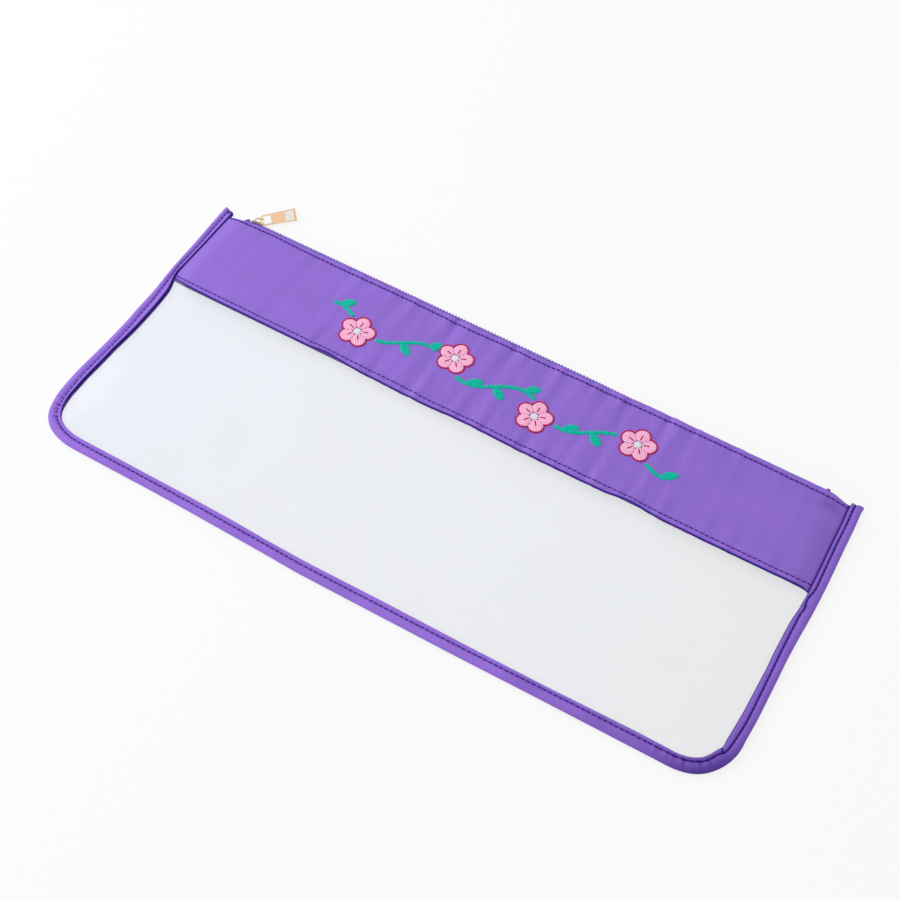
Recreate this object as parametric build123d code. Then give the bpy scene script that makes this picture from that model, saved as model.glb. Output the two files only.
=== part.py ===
from build123d import *
import math
import os

# Flat zip pouch with clear vinyl windows, lying on its back with the zipper closed.
# Millimetres. X runs along the zipper, Y points towards it, Z is up out of the front.
# The origin is the middle of the back window's resting face.

# Overall size
pouch_width = 440.0
pouch_height = 200.0
corner_radius = 30.0

# Sheet and fabric thicknesses
vinyl_thickness = 0.4
header_thickness = 0.7
tape_thickness = 0.45
binding_ply = 0.7
seat_gap = 0.1

# Edge binding, folded over the seam
binding_width = 8.5
binding_fold_radius = 1.1
binding_stitch_inset = 5.5

# Header bands
header_top_drop = 6.8
header_height = 62.7
back_hem_rise = 1.1
window_overlap = 6.5
top_stitch_inset = 2.4
hem_stitch_inset = 3.6

# How the panels rise from the seam to the level they lie at
side_slope_run = 6.5
bottom_slope_run = 14.0
hem_slope_run = 4.0
hem_slope_gap = 1.5

# Thread of every seam, sunk flush into the fabric
thread_width = 0.6
thread_depth = 0.25

# Zipper
tooth_pitch = 2.1
tooth_width = 0.8
chain_half_width = 2.0
tooth_reach = 0.9
tooth_spine = 0.6
chain_thickness = 1.5
tape_sewn_depth = 13.0
tape_left_inset = 15.5
tape_right_inset = 15.8
tape_left_radius = 2.2
tape_right_radius = 3.0
tape_bulge = 0.2
tape_bulge_start = 0.2
tape_bulge_run = 0.6
tape_fold = 0.6

# Slider and its stops
slider_start = 7.0
slider_length = 9.0
slider_nose_radius = 2.2
slider_tail_radius = 1.2
slider_edge_radius = 0.3
outer_plate = 0.9
inner_plate = 0.8
flange_thickness = 0.7
wedge_length = 3.0
wedge_setback = 0.5
wedge_half_width = 0.7
channel_clearance = 0.3
slide_clearance = 0.25
inner_plate_gap = 0.2
stop_gap = 0.3
stop_edge_radius = 0.3
stop_rise = 0.3
top_stop_length = 2.1
top_stop_overlap = 0.4
bottom_stop_inset = 7.7
bottom_stop_length = 2.6
bottom_stop_overlap = 0.2

# Bail arch on the slider, and the pull tab that hangs round it
bail_wire_radius = 0.6
bail_arch_radius = 2.9
bail_leg = 1.25
bail_offset_x = -0.9
pull_angle = 46.0
pull_twist = 45.0
pull_clearance = 0.7
pull_reach = 24.2
pull_thickness = 0.9
pull_ring_bar = 0.9
pull_ring_half_width = 3.3
pull_shoulder_half_width = 3.5
pull_end_half_width = 3.9
pull_hole_length = 6.5
pull_hole_half_width = 2.4
pull_shoulder = 3.4
pull_lip = 0.9
pull_lip_rise = 0.2
pull_edge_radius = 0.18

# Running flower-and-tendril border embroidered on the front header
motif_drop = 1.35
motif_thickness = 0.5
motif_clearance = 0.15
vine_half_length = 116.0
vine_wave_length = 64.0
vine_wave_height = 6.5
vine_stroke = 1.8
vine_steps = 48
vine_gap = 0.45
blossom_count = 4
blossom_spacing = 60.8
blossom_offset = 6.5
petal_count = 5
petal_ring_radius = 6.6
petal_radius = 4.3
petal_outline = 0.8
blossom_eye_radius = 2.4
leaf_length = 11.0
leaf_half_width = 2.6
leaf_pitch = 16.0
leaf_tilt = 35.0

# Levels and lines worked out from the sizes above
half_width = pouch_width / 2
half_height = pouch_height / 2
binding_top_y = half_height
beyond = 2 * pouch_width
level_tolerance = 0.01
fillet_share = 0.9
binding_thickness = 2 * binding_ply + 2 * header_thickness
back_flange_z = binding_ply
front_flange_z = binding_ply + header_thickness
seam_inset = binding_width + seat_gap
header_top_y = binding_top_y - header_top_drop
front_hem_y = header_top_y - header_height
back_hem_y = front_hem_y + back_hem_rise
motif_centre_y = (header_top_y + front_hem_y) / 2 - motif_drop

channel_half = chain_half_width + channel_clearance
slider_half = channel_half + flange_thickness
tape_split_half = wedge_half_width + channel_clearance
tape_inner_half = channel_half - tape_bulge
zipper_z = header_thickness + tape_thickness + tape_inner_half
front_header_z = zipper_z + tape_inner_half + tape_thickness
front_window_z = front_header_z - vinyl_thickness

bulge_y = header_top_y + tape_bulge_start
ridge_y = bulge_y + tape_bulge_run
tape_face_y = ridge_y + inner_plate_gap + inner_plate + slide_clearance
tape_back_y = tape_face_y + tape_thickness
chain_top_y = tape_back_y + chain_thickness
plate_bottom_y = chain_top_y + slide_clearance
plate_top_y = plate_bottom_y + outer_plate
tape_left_x = tape_left_inset - half_width
tape_right_x = half_width - tape_right_inset
slider_left_x = tape_left_x + slider_start
slider_right_x = slider_left_x + slider_length
slider_centre_x = (slider_left_x + slider_right_x) / 2
top_stop_right_x = slider_left_x - stop_gap
top_stop_left_x = top_stop_right_x - top_stop_length
bottom_stop_left_x = tape_right_x - bottom_stop_inset
slider_travel = bottom_stop_left_x - stop_gap - slider_right_x

bail_x = slider_centre_x + bail_offset_x
bail_y = plate_top_y + bail_leg


def pouch_outline(inset, top_y, low_y=None, half=None):
    """The pouch's plan outline moved in by inset, with its two lower corners rounded."""
    side = half_width - inset if half is None else half
    bottom = -half_height + inset if low_y is None else low_y
    radius = corner_radius - inset if half is None else corner_radius - (half_width - half)
    with BuildSketch() as sketch:
        with Locations((0, (bottom + top_y) / 2)):
            Rectangle(2 * side, top_y - bottom)
        lower = sketch.vertices().group_by(Axis.Y)[0]
        fillet(lower, radius)
    return sketch.sketch


def slab(sketch, low_z, high_z):
    """A flat plate over a plan sketch, between two heights."""
    return extrude(Pos(0, 0, low_z) * sketch, high_z - low_z)


def y_band(low_y, high_y, half=beyond):
    """A tall block that keeps what lies between two lines across the pouch."""
    return Pos(0, (low_y + high_y) / 2, 0) * Box(2 * half, high_y - low_y, beyond)


def seam_line(top_y):
    """The plan outline where the panels leave the binding."""
    return pouch_outline(seam_inset, top_y)


def inner_line(top_y):
    """The plan outline where the panels reach the level they lie at."""
    side = half_width - seam_inset - side_slope_run
    bottom = -half_height + seam_inset + bottom_slope_run
    return pouch_outline(0, top_y, bottom, side)


def body_under(flange_z, level_z, seam_top, inner_top):
    """Everything below a panel's lower surface: flat in the seam, sloped, then flat again."""
    flange = slab(pouch_outline(binding_ply, beyond), -beyond, flange_z)
    lower = Pos(0, 0, flange_z) * seam_line(seam_top)
    upper = Pos(0, 0, level_z) * inner_line(inner_top)
    hump = loft([lower.face(), upper.face()], ruled=True)
    return flange + hump if level_z > flange_z else flange - hump


def panel(flange_z, level_z, low, high, seam_top=beyond, inner_top=beyond):
    """A sheet that follows a panel's surface, from low to high above its lower side."""
    over = body_under(flange_z + high, level_z + high, seam_top, inner_top)
    under = body_under(flange_z + low, level_z + low, seam_top, inner_top)
    return over - under


def front_header_layer(low, high, low_y, high_y):
    return panel(front_flange_z, front_header_z, low, high) & y_band(low_y, high_y)


def back_header_layer(low, high, low_y, high_y):
    return panel(back_flange_z, 0, low, high) & y_band(low_y, high_y)


def thread_band(line_y):
    return line_y - thread_width / 2, line_y + thread_width / 2


def front_header_stitching(line_y):
    low = header_thickness - thread_depth
    return front_header_layer(low, header_thickness, *thread_band(line_y))


def back_header_stitching(line_y):
    return back_header_layer(0, thread_depth, *thread_band(line_y))


def window_plan(hem_y):
    """Plan of a window sheet: full width up to the hem, then a narrower tab behind the header."""
    side = half_width - seam_inset - side_slope_run - seat_gap
    wide = pouch_outline(binding_ply + seat_gap, hem_y - hem_slope_gap)
    tab_top = hem_y + window_overlap
    tab = Pos(0, tab_top / 2) * Rectangle(2 * side, tab_top)
    return wide + tab


def make_front_window():
    """Clear sheet that rises from under the binding's top ply to just below the header."""
    flange_z = binding_thickness - binding_ply - vinyl_thickness
    sheet = panel(flange_z, front_window_z, 0, vinyl_thickness)
    return sheet & slab(window_plan(front_hem_y), -beyond, beyond)


def make_back_window():
    """Clear sheet that sags from the seam and the back header on to the surface below it."""
    seam_top = back_hem_y - hem_slope_gap
    inner_top = seam_top - hem_slope_run
    sheet = panel(back_flange_z, 0, 0, vinyl_thickness, seam_top, inner_top)
    return sheet & slab(window_plan(back_hem_y), -beyond, beyond)


def make_binding():
    """Strip folded over the raw edges, open inside and at its two square-cut top ends."""
    outer = slab(pouch_outline(0, binding_top_y), 0, binding_thickness)
    rim = [edge for edge in outer.edges() if lies_on_rim(edge)]
    outer = fillet(rim, binding_fold_radius)
    core = slab(pouch_outline(binding_ply, beyond), binding_ply, binding_thickness - binding_ply)
    middle = slab(pouch_outline(binding_width, beyond), -beyond, beyond)
    return outer - core - middle


def lies_on_rim(edge):
    """True for the edges round the top and bottom faces, apart from the two open ends."""
    centre = edge.center()
    from_face = min(abs(centre.Z), abs(centre.Z - binding_thickness))
    return from_face < level_tolerance and centre.Y < binding_top_y - level_tolerance


def binding_thread(low_z, high_z):
    """One thread of the seam round the binding, a narrow ring in plan."""
    outer = pouch_outline(binding_stitch_inset - thread_width / 2, binding_top_y)
    inner = pouch_outline(binding_stitch_inset + thread_width / 2, beyond)
    return slab(outer - inner, low_z, high_z)


def tape_section(side):
    """Cross-section of one zipper tape in Y and Z: sewn part, bulge, fold and chain strip."""
    inner, outer = tape_inner_half, tape_inner_half + tape_thickness
    foot_y = header_top_y - tape_sewn_depth
    points = [
        (foot_y, inner),
        (bulge_y, inner),
        (ridge_y, inner + tape_bulge),
        (tape_face_y, inner + tape_bulge),
        (tape_face_y, tape_split_half),
        (tape_back_y, tape_split_half),
        (tape_back_y, outer + tape_bulge - tape_fold),
        (tape_back_y - tape_fold, outer + tape_bulge),
        (ridge_y, outer + tape_bulge),
        (bulge_y, outer),
        (foot_y, outer),
    ]
    corners = [(0, y, zipper_z + side * away) for y, away in points]
    return make_face(Polyline(*corners, close=True))


def make_tape(side):
    """One zipper tape, rounded where its two ends are tucked down."""
    length = tape_right_x - tape_left_x
    strip = extrude(Pos(tape_left_x, 0, 0) * tape_section(side), length, dir=(1, 0, 0))
    foot_y = header_top_y - tape_sewn_depth
    with BuildSketch() as plan:
        with Locations(((tape_left_x + tape_right_x) / 2, (foot_y + tape_back_y) / 2)):
            Rectangle(length, tape_back_y - foot_y)
        fillet(plan.vertices().sort_by(Axis.X)[:2].sort_by(Axis.Y)[-1:], tape_left_radius)
        fillet(plan.vertices().sort_by(Axis.X)[-2:].sort_by(Axis.Y)[-1:], tape_right_radius)
    return strip & slab(plan.sketch, -beyond, beyond)


def make_tooth_row(side):
    """One coil as a comb: a spine along the tape and teeth that reach past the middle."""
    spine_low = chain_half_width - tooth_spine
    first = slider_left_x + wedge_setback + wedge_length + slide_clearance
    last = bottom_stop_left_x - seat_gap
    shift = 0 if side > 0 else tooth_pitch / 2
    count = int((last - first - shift - tooth_width) // tooth_pitch) + 1
    points = [(slider_left_x, chain_half_width), (slider_left_x, spine_low)]
    for index in range(count):
        x = first + shift + index * tooth_pitch
        points += [(x, spine_low), (x, -tooth_reach)]
        points += [(x + tooth_width, -tooth_reach), (x + tooth_width, spine_low)]
    points += [(last, spine_low), (last, chain_half_width)]
    row = comb_solid(points, side)
    tail_left = tape_left_x + tape_left_radius
    tail_right = top_stop_left_x - seat_gap
    tail = [(tail_left, spine_low - tooth_spine), (tail_left, chain_half_width)]
    tail += [(tail_right, chain_half_width), (tail_right, spine_low - tooth_spine)]
    return Compound([row, comb_solid(tail, side)])


def comb_solid(points, side):
    """An outline in X and distance from the zipper's middle line, as thick as the chain."""
    corners = [(x, tape_back_y, zipper_z + side * away) for x, away in points]
    return extrude(make_face(Polyline(*corners, close=True)), chain_thickness, dir=(0, 1, 0))


def block(low, high):
    """A box between two corners."""
    size = [b - a for a, b in zip(low, high)]
    middle = [(a + b) / 2 for a, b in zip(low, high)]
    return Pos(*middle) * Box(*size)


def make_top_stop(side):
    """Moulded stop on one tape, wider than the slider's channel."""
    half = channel_half + top_stop_overlap
    near, far = sorted((zipper_z + side * tape_split_half, zipper_z + side * half))
    low = (top_stop_left_x, tape_back_y, near)
    high = (top_stop_right_x, chain_top_y + stop_rise, far)
    stop = block(low, high)
    return fillet(stop.edges().filter_by(Axis.Y), stop_edge_radius)


def make_bottom_stop():
    """Moulded stop across both tooth rows at the end of the chain."""
    reach = chain_half_width + bottom_stop_overlap
    low = (bottom_stop_left_x, tape_back_y, zipper_z - reach)
    high = (bottom_stop_left_x + bottom_stop_length, chain_top_y + stop_rise, zipper_z + reach)
    stop = block(low, high)
    top = stop.faces().sort_by(Axis.Y)[-1].edges()
    return fillet(stop.edges().filter_by(Axis.Y) + top, stop_edge_radius)


def plate_plan(half):
    """Plan of a slider plate in X and Z, with a broad nose at the left."""
    with BuildSketch(Plane.XZ) as plan:
        with Locations((slider_centre_x, zipper_z)):
            Rectangle(slider_length, 2 * half)
        fillet(plan.vertices().group_by(Axis.X)[0], min(slider_nose_radius, half * fillet_share))
        fillet(plan.vertices().group_by(Axis.X)[-1], min(slider_tail_radius, half * fillet_share))
    return plan.sketch


def plate(half, low_y, high_y):
    """A slider plate between two distances along Y."""
    return extrude(Pos(0, low_y, 0) * plate_plan(half), high_y - low_y, dir=(0, 1, 0))


def make_slider_body():
    """Two plates joined by the wedge, with a flange along each side over the tooth rows."""
    outer = plate(slider_half, plate_bottom_y, plate_top_y)
    outer = fillet(outer.faces().sort_by(Axis.Y)[-1].edges(), slider_edge_radius)
    flange_low = tape_back_y + slide_clearance
    skirt = plate(slider_half, flange_low, plate_bottom_y)
    channel = block(
        (slider_left_x, flange_low, zipper_z - channel_half),
        (slider_right_x, plate_bottom_y, zipper_z + channel_half),
    )
    inner_high = tape_face_y - slide_clearance
    inner = plate(chain_half_width, inner_high - inner_plate, inner_high)
    wedge_left_x = slider_left_x + wedge_setback
    wedge = block(
        (wedge_left_x, inner_high, zipper_z - wedge_half_width),
        (wedge_left_x + wedge_length, plate_bottom_y, zipper_z + wedge_half_width),
    )
    wedge = fillet(wedge.edges().filter_by(Axis.Y), wedge_half_width * fillet_share)
    return outer + (skirt - channel) + inner + wedge


def make_bail():
    """Round wire arch over the slider, its two legs square on the outer plate."""
    left = (bail_x - bail_arch_radius, plate_top_y, zipper_z)
    spring_left = (bail_x - bail_arch_radius, bail_y, zipper_z)
    crown = (bail_x, bail_y + bail_arch_radius, zipper_z)
    spring_right = (bail_x + bail_arch_radius, bail_y, zipper_z)
    right = (bail_x + bail_arch_radius, plate_top_y, zipper_z)
    arch = ThreePointArc(spring_left, crown, spring_right)
    path = Line(left, spring_left) + arch + Line(spring_right, right)
    section = Plane(origin=left, z_dir=(0, 1, 0)) * Circle(bail_wire_radius)
    return sweep(section, path=path)


def pull_plane():
    """Plane of the tab: X along it, away from the arch's centre, Z square to its face."""
    along = Vector(1, 0, 0).rotate(Axis.Z, pull_angle)
    face = Vector(0, 0, 1).rotate(Axis(origin=(0, 0, 0), direction=along), pull_twist)
    return Plane(origin=(bail_x, bail_y, zipper_z), x_dir=along, z_dir=face)


def make_pull_tab():
    """Flat tapered tab with a D-shaped eye at the bail and a thicker lip at its far end."""
    hole_start = bail_arch_radius - bail_wire_radius - pull_clearance
    ring_start = hole_start - pull_ring_bar
    ring_centre = ring_start + pull_ring_half_width
    hole_end = hole_start + pull_hole_length
    shoulder_x = hole_end + pull_shoulder
    outline = make_face(
        ThreePointArc(
            (ring_centre, -pull_ring_half_width), (ring_start, 0), (ring_centre, pull_ring_half_width)
        )
        + Line((ring_centre, pull_ring_half_width), (shoulder_x, pull_shoulder_half_width))
        + Line((shoulder_x, pull_shoulder_half_width), (pull_reach, pull_end_half_width))
        + Line((pull_reach, pull_end_half_width), (pull_reach, -pull_end_half_width))
        + Line((pull_reach, -pull_end_half_width), (shoulder_x, -pull_shoulder_half_width))
        + Line((shoulder_x, -pull_shoulder_half_width), (ring_centre, -pull_ring_half_width))
    )
    tab = extrude(outline, pull_thickness / 2, both=True)
    tab = fillet(tab.edges().group_by(Axis.Z)[0] + tab.edges().group_by(Axis.Z)[-1], pull_edge_radius)
    eye_centre = hole_start + pull_hole_half_width
    eye = make_face(
        ThreePointArc(
            (eye_centre, -pull_hole_half_width), (hole_start, 0), (eye_centre, pull_hole_half_width)
        )
        + Line((eye_centre, pull_hole_half_width), (hole_end, pull_hole_half_width))
        + Line((hole_end, pull_hole_half_width), (hole_end, -pull_hole_half_width))
        + Line((hole_end, -pull_hole_half_width), (eye_centre, -pull_hole_half_width))
    )
    tab -= extrude(eye, pull_thickness, both=True)
    lip_size = (pull_lip, 2 * pull_end_half_width, pull_thickness + 2 * pull_lip_rise)
    lip = fillet(Box(*lip_size).edges(), pull_edge_radius)
    tab += Pos(pull_reach - pull_lip / 2, 0, 0) * lip
    return pull_plane().location * tab


def motif(sketch):
    """A patch of raised embroidery lying on the front header."""
    base = front_header_z + header_thickness
    return slab(sketch, base, base + motif_thickness)


def vine_y(x):
    return motif_centre_y + vine_wave_height * math.sin(2 * math.pi * x / vine_wave_length)


def vine_strip(width):
    """Wavy stem in plan, a band of even width about a sine line."""
    step = 2 * vine_half_length / vine_steps
    xs = [-vine_half_length + step * i for i in range(vine_steps + 1)]
    upper = Spline(*[(x, vine_y(x) + width / 2) for x in xs])
    lower = Spline(*[(x, vine_y(x) - width / 2) for x in reversed(xs)])
    ends = [Line(upper @ 1, lower @ 0), Line(lower @ 1, upper @ 0)]
    return make_face(upper + ends[0] + lower + ends[1])


def blossom_places():
    """Centres of the blossoms, in turn above and below the vine's middle line."""
    for index in range(blossom_count):
        x = (index - (blossom_count - 1) / 2) * blossom_spacing
        side = 1 if index % 2 else -1
        yield x, motif_centre_y + side * blossom_offset


def petals(grow):
    """Five round petals about a blossom's centre, widened by grow."""
    step = 360 / petal_count
    rings = [Rot(0, 0, 90 + step * i) * Pos(petal_ring_radius, 0) for i in range(petal_count)]
    shape = Circle(petal_ring_radius)
    for place in rings:
        shape += place * Circle(petal_radius + grow)
    return shape


def leaf():
    """A pointed leaf from the origin along X."""
    middle = leaf_length / 2
    top = ThreePointArc((0, 0), (middle, leaf_half_width), (leaf_length, 0))
    bottom = ThreePointArc((leaf_length, 0), (middle, -leaf_half_width), (0, 0))
    return make_face(top + bottom)


def make_petals():
    core = petals(0) - Circle(blossom_eye_radius + motif_clearance)
    return Compound([motif(Pos(x, y) * core) for x, y in blossom_places()])


def make_petal_outlines():
    ring = petals(motif_clearance + petal_outline) - petals(motif_clearance)
    return Compound([motif(Pos(x, y) * ring) for x, y in blossom_places()])


def make_blossom_eyes():
    return Compound([motif(Pos(x, y) * Circle(blossom_eye_radius)) for x, y in blossom_places()])


def make_vine():
    """Stem and leaves as one teal patch, cut back round the blossoms."""
    plan = vine_strip(vine_stroke)
    count = int(vine_half_length // leaf_pitch)
    for index in range(-count, count + 1):
        x = index * leaf_pitch
        turn = leaf_tilt if index % 2 else -leaf_tilt
        plan += Pos(x, vine_y(x)) * Rot(0, 0, turn) * leaf()
    for x, y in blossom_places():
        plan -= Pos(x, y) * petals(petal_outline + vine_gap)
    faces = [face for face in plan.faces() if face.area > vine_stroke**2]
    return Compound([motif(face) for face in faces])


def write(name, shape):
    export_step(shape, f"parts/{name}.step")
    box = shape.bounding_box()
    print(f"{name:28s} {shape.volume:10.1f} mm3  {box.min} {box.max}")


os.makedirs("parts", exist_ok=True)

front_top_line = header_top_y - top_stitch_inset
front_hem_line = front_hem_y + hem_stitch_inset
back_hem_line = back_hem_y + hem_stitch_inset
front_threads = {
    "front_top_stitching": front_header_stitching(front_top_line),
    "front_hem_stitching": front_header_stitching(front_hem_line),
}
back_threads = {
    "back_top_stitching": back_header_stitching(front_top_line),
    "back_hem_stitching": back_header_stitching(back_hem_line),
}
binding_threads = {
    "binding_front_stitching": binding_thread(binding_thickness - thread_depth, binding_thickness),
    "binding_back_stitching": binding_thread(0, thread_depth),
}

front_header = front_header_layer(0, header_thickness, front_hem_y, header_top_y)
for thread in front_threads.values():
    front_header -= thread
back_header = back_header_layer(0, header_thickness, back_hem_y, header_top_y)
for thread in back_threads.values():
    back_header -= thread
binding = make_binding()
for thread in binding_threads.values():
    binding -= thread

write("front_window", make_front_window())
write("back_window", make_back_window())
write("front_header_band", front_header)
write("back_header_band", back_header)
write("edge_binding", binding)
write("front_zipper_tape", make_tape(1))
write("back_zipper_tape", make_tape(-1))
write("front_tooth_row", make_tooth_row(1))
write("back_tooth_row", make_tooth_row(-1))
write("front_top_stop", make_top_stop(1))
write("back_top_stop", make_top_stop(-1))
write("bottom_stop", make_bottom_stop())
write("slider_body", make_slider_body())
write("slider_bail", make_bail())
write("pull_tab", make_pull_tab())
for name, thread in {**front_threads, **back_threads, **binding_threads}.items():
    write(name, thread)
write("embroidered_vine", make_vine())
write("embroidered_petals", make_petals())
write("embroidered_petal_outlines", make_petal_outlines())
write("embroidered_blossom_eyes", make_blossom_eyes())

print(f"slider travel {slider_travel:.1f} mm, bail centre {bail_x:.2f} {bail_y:.2f} {zipper_z:.2f}")
print(f"levels: header {front_header_z:.2f} window {front_window_z:.2f} zipper {zipper_z:.2f}")
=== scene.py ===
import math
import bmesh
import bpy
import numpy as np
from mathutils import Matrix, Vector


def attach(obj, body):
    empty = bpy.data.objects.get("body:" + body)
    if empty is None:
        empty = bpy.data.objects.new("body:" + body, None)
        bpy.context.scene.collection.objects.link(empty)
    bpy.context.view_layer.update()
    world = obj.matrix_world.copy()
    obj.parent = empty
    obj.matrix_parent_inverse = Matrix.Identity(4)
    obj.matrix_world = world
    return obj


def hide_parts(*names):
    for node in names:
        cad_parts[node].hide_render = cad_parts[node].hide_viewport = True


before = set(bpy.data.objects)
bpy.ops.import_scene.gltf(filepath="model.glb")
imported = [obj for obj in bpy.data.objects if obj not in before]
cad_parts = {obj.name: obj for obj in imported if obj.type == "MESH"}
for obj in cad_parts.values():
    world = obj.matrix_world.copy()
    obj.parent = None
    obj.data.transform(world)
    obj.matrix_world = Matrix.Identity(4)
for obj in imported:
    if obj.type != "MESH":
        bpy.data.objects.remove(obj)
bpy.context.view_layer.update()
print("frame loaded,", len(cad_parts), "parts")

# All lengths below are millimetres, turned to metres when a mesh or lamp is made.
mm = 0.001

camera = {
    "place": (239.3, -434.7, 743.6),
    "right": (0.8640, 0.5030, 0.0220),
    "ahead": (-0.2678, 0.4962, -0.8259),
    "lens": 62.29,
    "sensor": 36.0,
}


def makeCamera():
    # the camera's axes are given as directions, its own Z points back from the view
    data = bpy.data.cameras.new("camera")
    data.lens = camera["lens"]
    data.sensor_width = camera["sensor"]
    data.sensor_fit = "HORIZONTAL"
    data.clip_start = 0.01
    data.clip_end = 20.0
    holder = bpy.data.objects.new("camera", data)
    bpy.context.scene.collection.objects.link(holder)
    right = Vector(camera["right"]).normalized()
    back = -Vector(camera["ahead"]).normalized()
    up = back.cross(right).normalized()
    turn = Matrix((right, up, back)).transposed().to_4x4()
    holder.matrix_world = Matrix.Translation(Vector(camera["place"]) * mm) @ turn
    bpy.context.scene.camera = holder


makeCamera()
print("camera placed")


def toLinear(hexText):
    # sRGB hex to linear: c/12.92 in the darks, ((c + 0.055)/1.055) to the power 2.4 above
    values = [int(hexText[i:i + 2], 16) / 255 for i in (1, 3, 5)]
    linear = [v / 12.92 if v <= 0.04045 else ((v + 0.055) / 1.055) ** 2.4 for v in values]
    return (*linear, 1.0)


def addNode(tree, kind, inputs=None, stops=(), **settings):
    # one shader node with its settings, its sockets' values or links, and its colour stops; a
    # node given for a socket is linked from its first output
    node = tree.nodes.new("ShaderNode" + kind)
    for name, value in settings.items():
        setattr(node, name, value)
    for name, value in (inputs or {}).items():
        if isinstance(value, bpy.types.Node):
            value = value.outputs[0]
        if isinstance(value, bpy.types.NodeSocket):
            tree.links.new(value, node.inputs[name])
        else:
            node.inputs[name].default_value = value
    for index, (place, colour) in enumerate(stops):
        ramp = node.color_ramp.elements
        mark = ramp[index] if index < 2 else ramp.new(place)
        mark.position, mark.color = place, colour
    return node


def newMaterial(name):
    # an empty node material
    material = bpy.data.materials.new(name)
    material.use_nodes = True
    material.node_tree.nodes.clear()
    return material, material.node_tree


def ease(t):
    # 0 below 0, 1 above 1, and 3t^2 - 2t^3 between
    t = np.clip(t, 0.0, 1.0)
    return t * t * (3 - 2 * t)


def bump(t, width):
    # a bell round 0, e to the minus (t/width) squared
    return np.exp(-(t / width) ** 2)


def ripple(x, y, length, turn=0.0):
    # three sine waves of uneven length and angle, added, within about -1 and 1
    k = 2 * math.pi / length
    c, s = math.cos(turn), math.sin(turn)
    u, v = c * x + s * y, c * y - s * x
    first = np.sin(k * u + 1.3 * np.sin(0.31 * k * v + 0.7))
    second = np.sin(0.63 * k * u - 0.41 * k * v + 2.1)
    third = np.sin(1.57 * k * u + 0.23 * k * v + 4.4)
    return (first + 0.7 * second + 0.45 * third) / 2.15


def gridQuads(rows, columns, wrapRows=False, wrapColumns=False):
    # quads between neighbouring points of a grid; a wrapped way closes on itself
    r = np.arange(rows if wrapRows else rows - 1)
    c = np.arange(columns if wrapColumns else columns - 1)
    r, c = np.meshgrid(r, c, indexing="ij")
    r2, c2 = (r + 1) % rows, (c + 1) % columns
    quads = [r * columns + c, r2 * columns + c, r2 * columns + c2, r * columns + c2]
    return np.stack(quads, -1).reshape(-1, 4)


def shellOf(outer, inner):
    # closed skin: one grid, its partner turned over, and a strip joining their edges
    rows, columns = outer.shape[:2]
    count = rows * columns
    index = np.arange(count).reshape(rows, columns)
    face = gridQuads(rows, columns)
    ring = np.concatenate([index[0, :-1], index[:-1, -1], index[-1, :0:-1], index[:0:-1, 0]])
    after = np.roll(ring, -1)
    rim = np.stack([ring, after, after + count, ring + count], -1)
    points = np.concatenate([outer.reshape(-1, 3), inner.reshape(-1, 3)])
    return points, np.concatenate([face, face[:, ::-1] + count, rim])


def joinMeshes(parts):
    # many (points, quads) as one, the quads' numbers moved on by the points before them
    points, quads, start = [], [], 0
    for p, q in parts:
        points.append(p)
        quads.append(q + start)
        start += len(p)
    return np.concatenate(points), np.concatenate(quads)


def makePiece(name, points, quads, material, body="pouch", uv=None, paintedShade=None):
    # a mesh object at the origin from millimetre points, with faces turned outwards, and with a painted shade
    # attribute where one is given
    mesh = bpy.data.meshes.new(name)
    mesh.from_pydata((points * mm).tolist(), [], quads.tolist())
    mesh.polygons.foreach_set("use_smooth", np.full(len(mesh.polygons), True))
    if uv is not None:
        corner = np.empty(len(mesh.loops), int)
        mesh.loops.foreach_get("vertex_index", corner)
        layer = mesh.uv_layers.new(name="threads")
        layer.data.foreach_set("uv", (uv[corner] * mm).ravel())
    # the painted shade, 0 to 1, that the cloth materials mix towards their dark colour
    if paintedShade is not None:
        mesh.attributes.new("paintedShade", "FLOAT", "POINT").data.foreach_set("value", paintedShade)
    made = bmesh.new()
    made.from_mesh(mesh)
    bmesh.ops.recalc_face_normals(made, faces=made.faces)
    made.to_mesh(mesh)
    made.free()
    mesh.materials.append(material)
    piece = bpy.data.objects.new(name, mesh)
    bpy.context.scene.collection.objects.link(piece)
    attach(piece, body)
    return piece


def standFor(piece, node, slot, **sheet):
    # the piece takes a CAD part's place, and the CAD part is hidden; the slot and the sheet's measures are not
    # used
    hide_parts(node)


def waveScale(period):
    # a wave texture's bands repeat every pi / 10 over its scale
    return math.pi / 10 / (period * mm)


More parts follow.
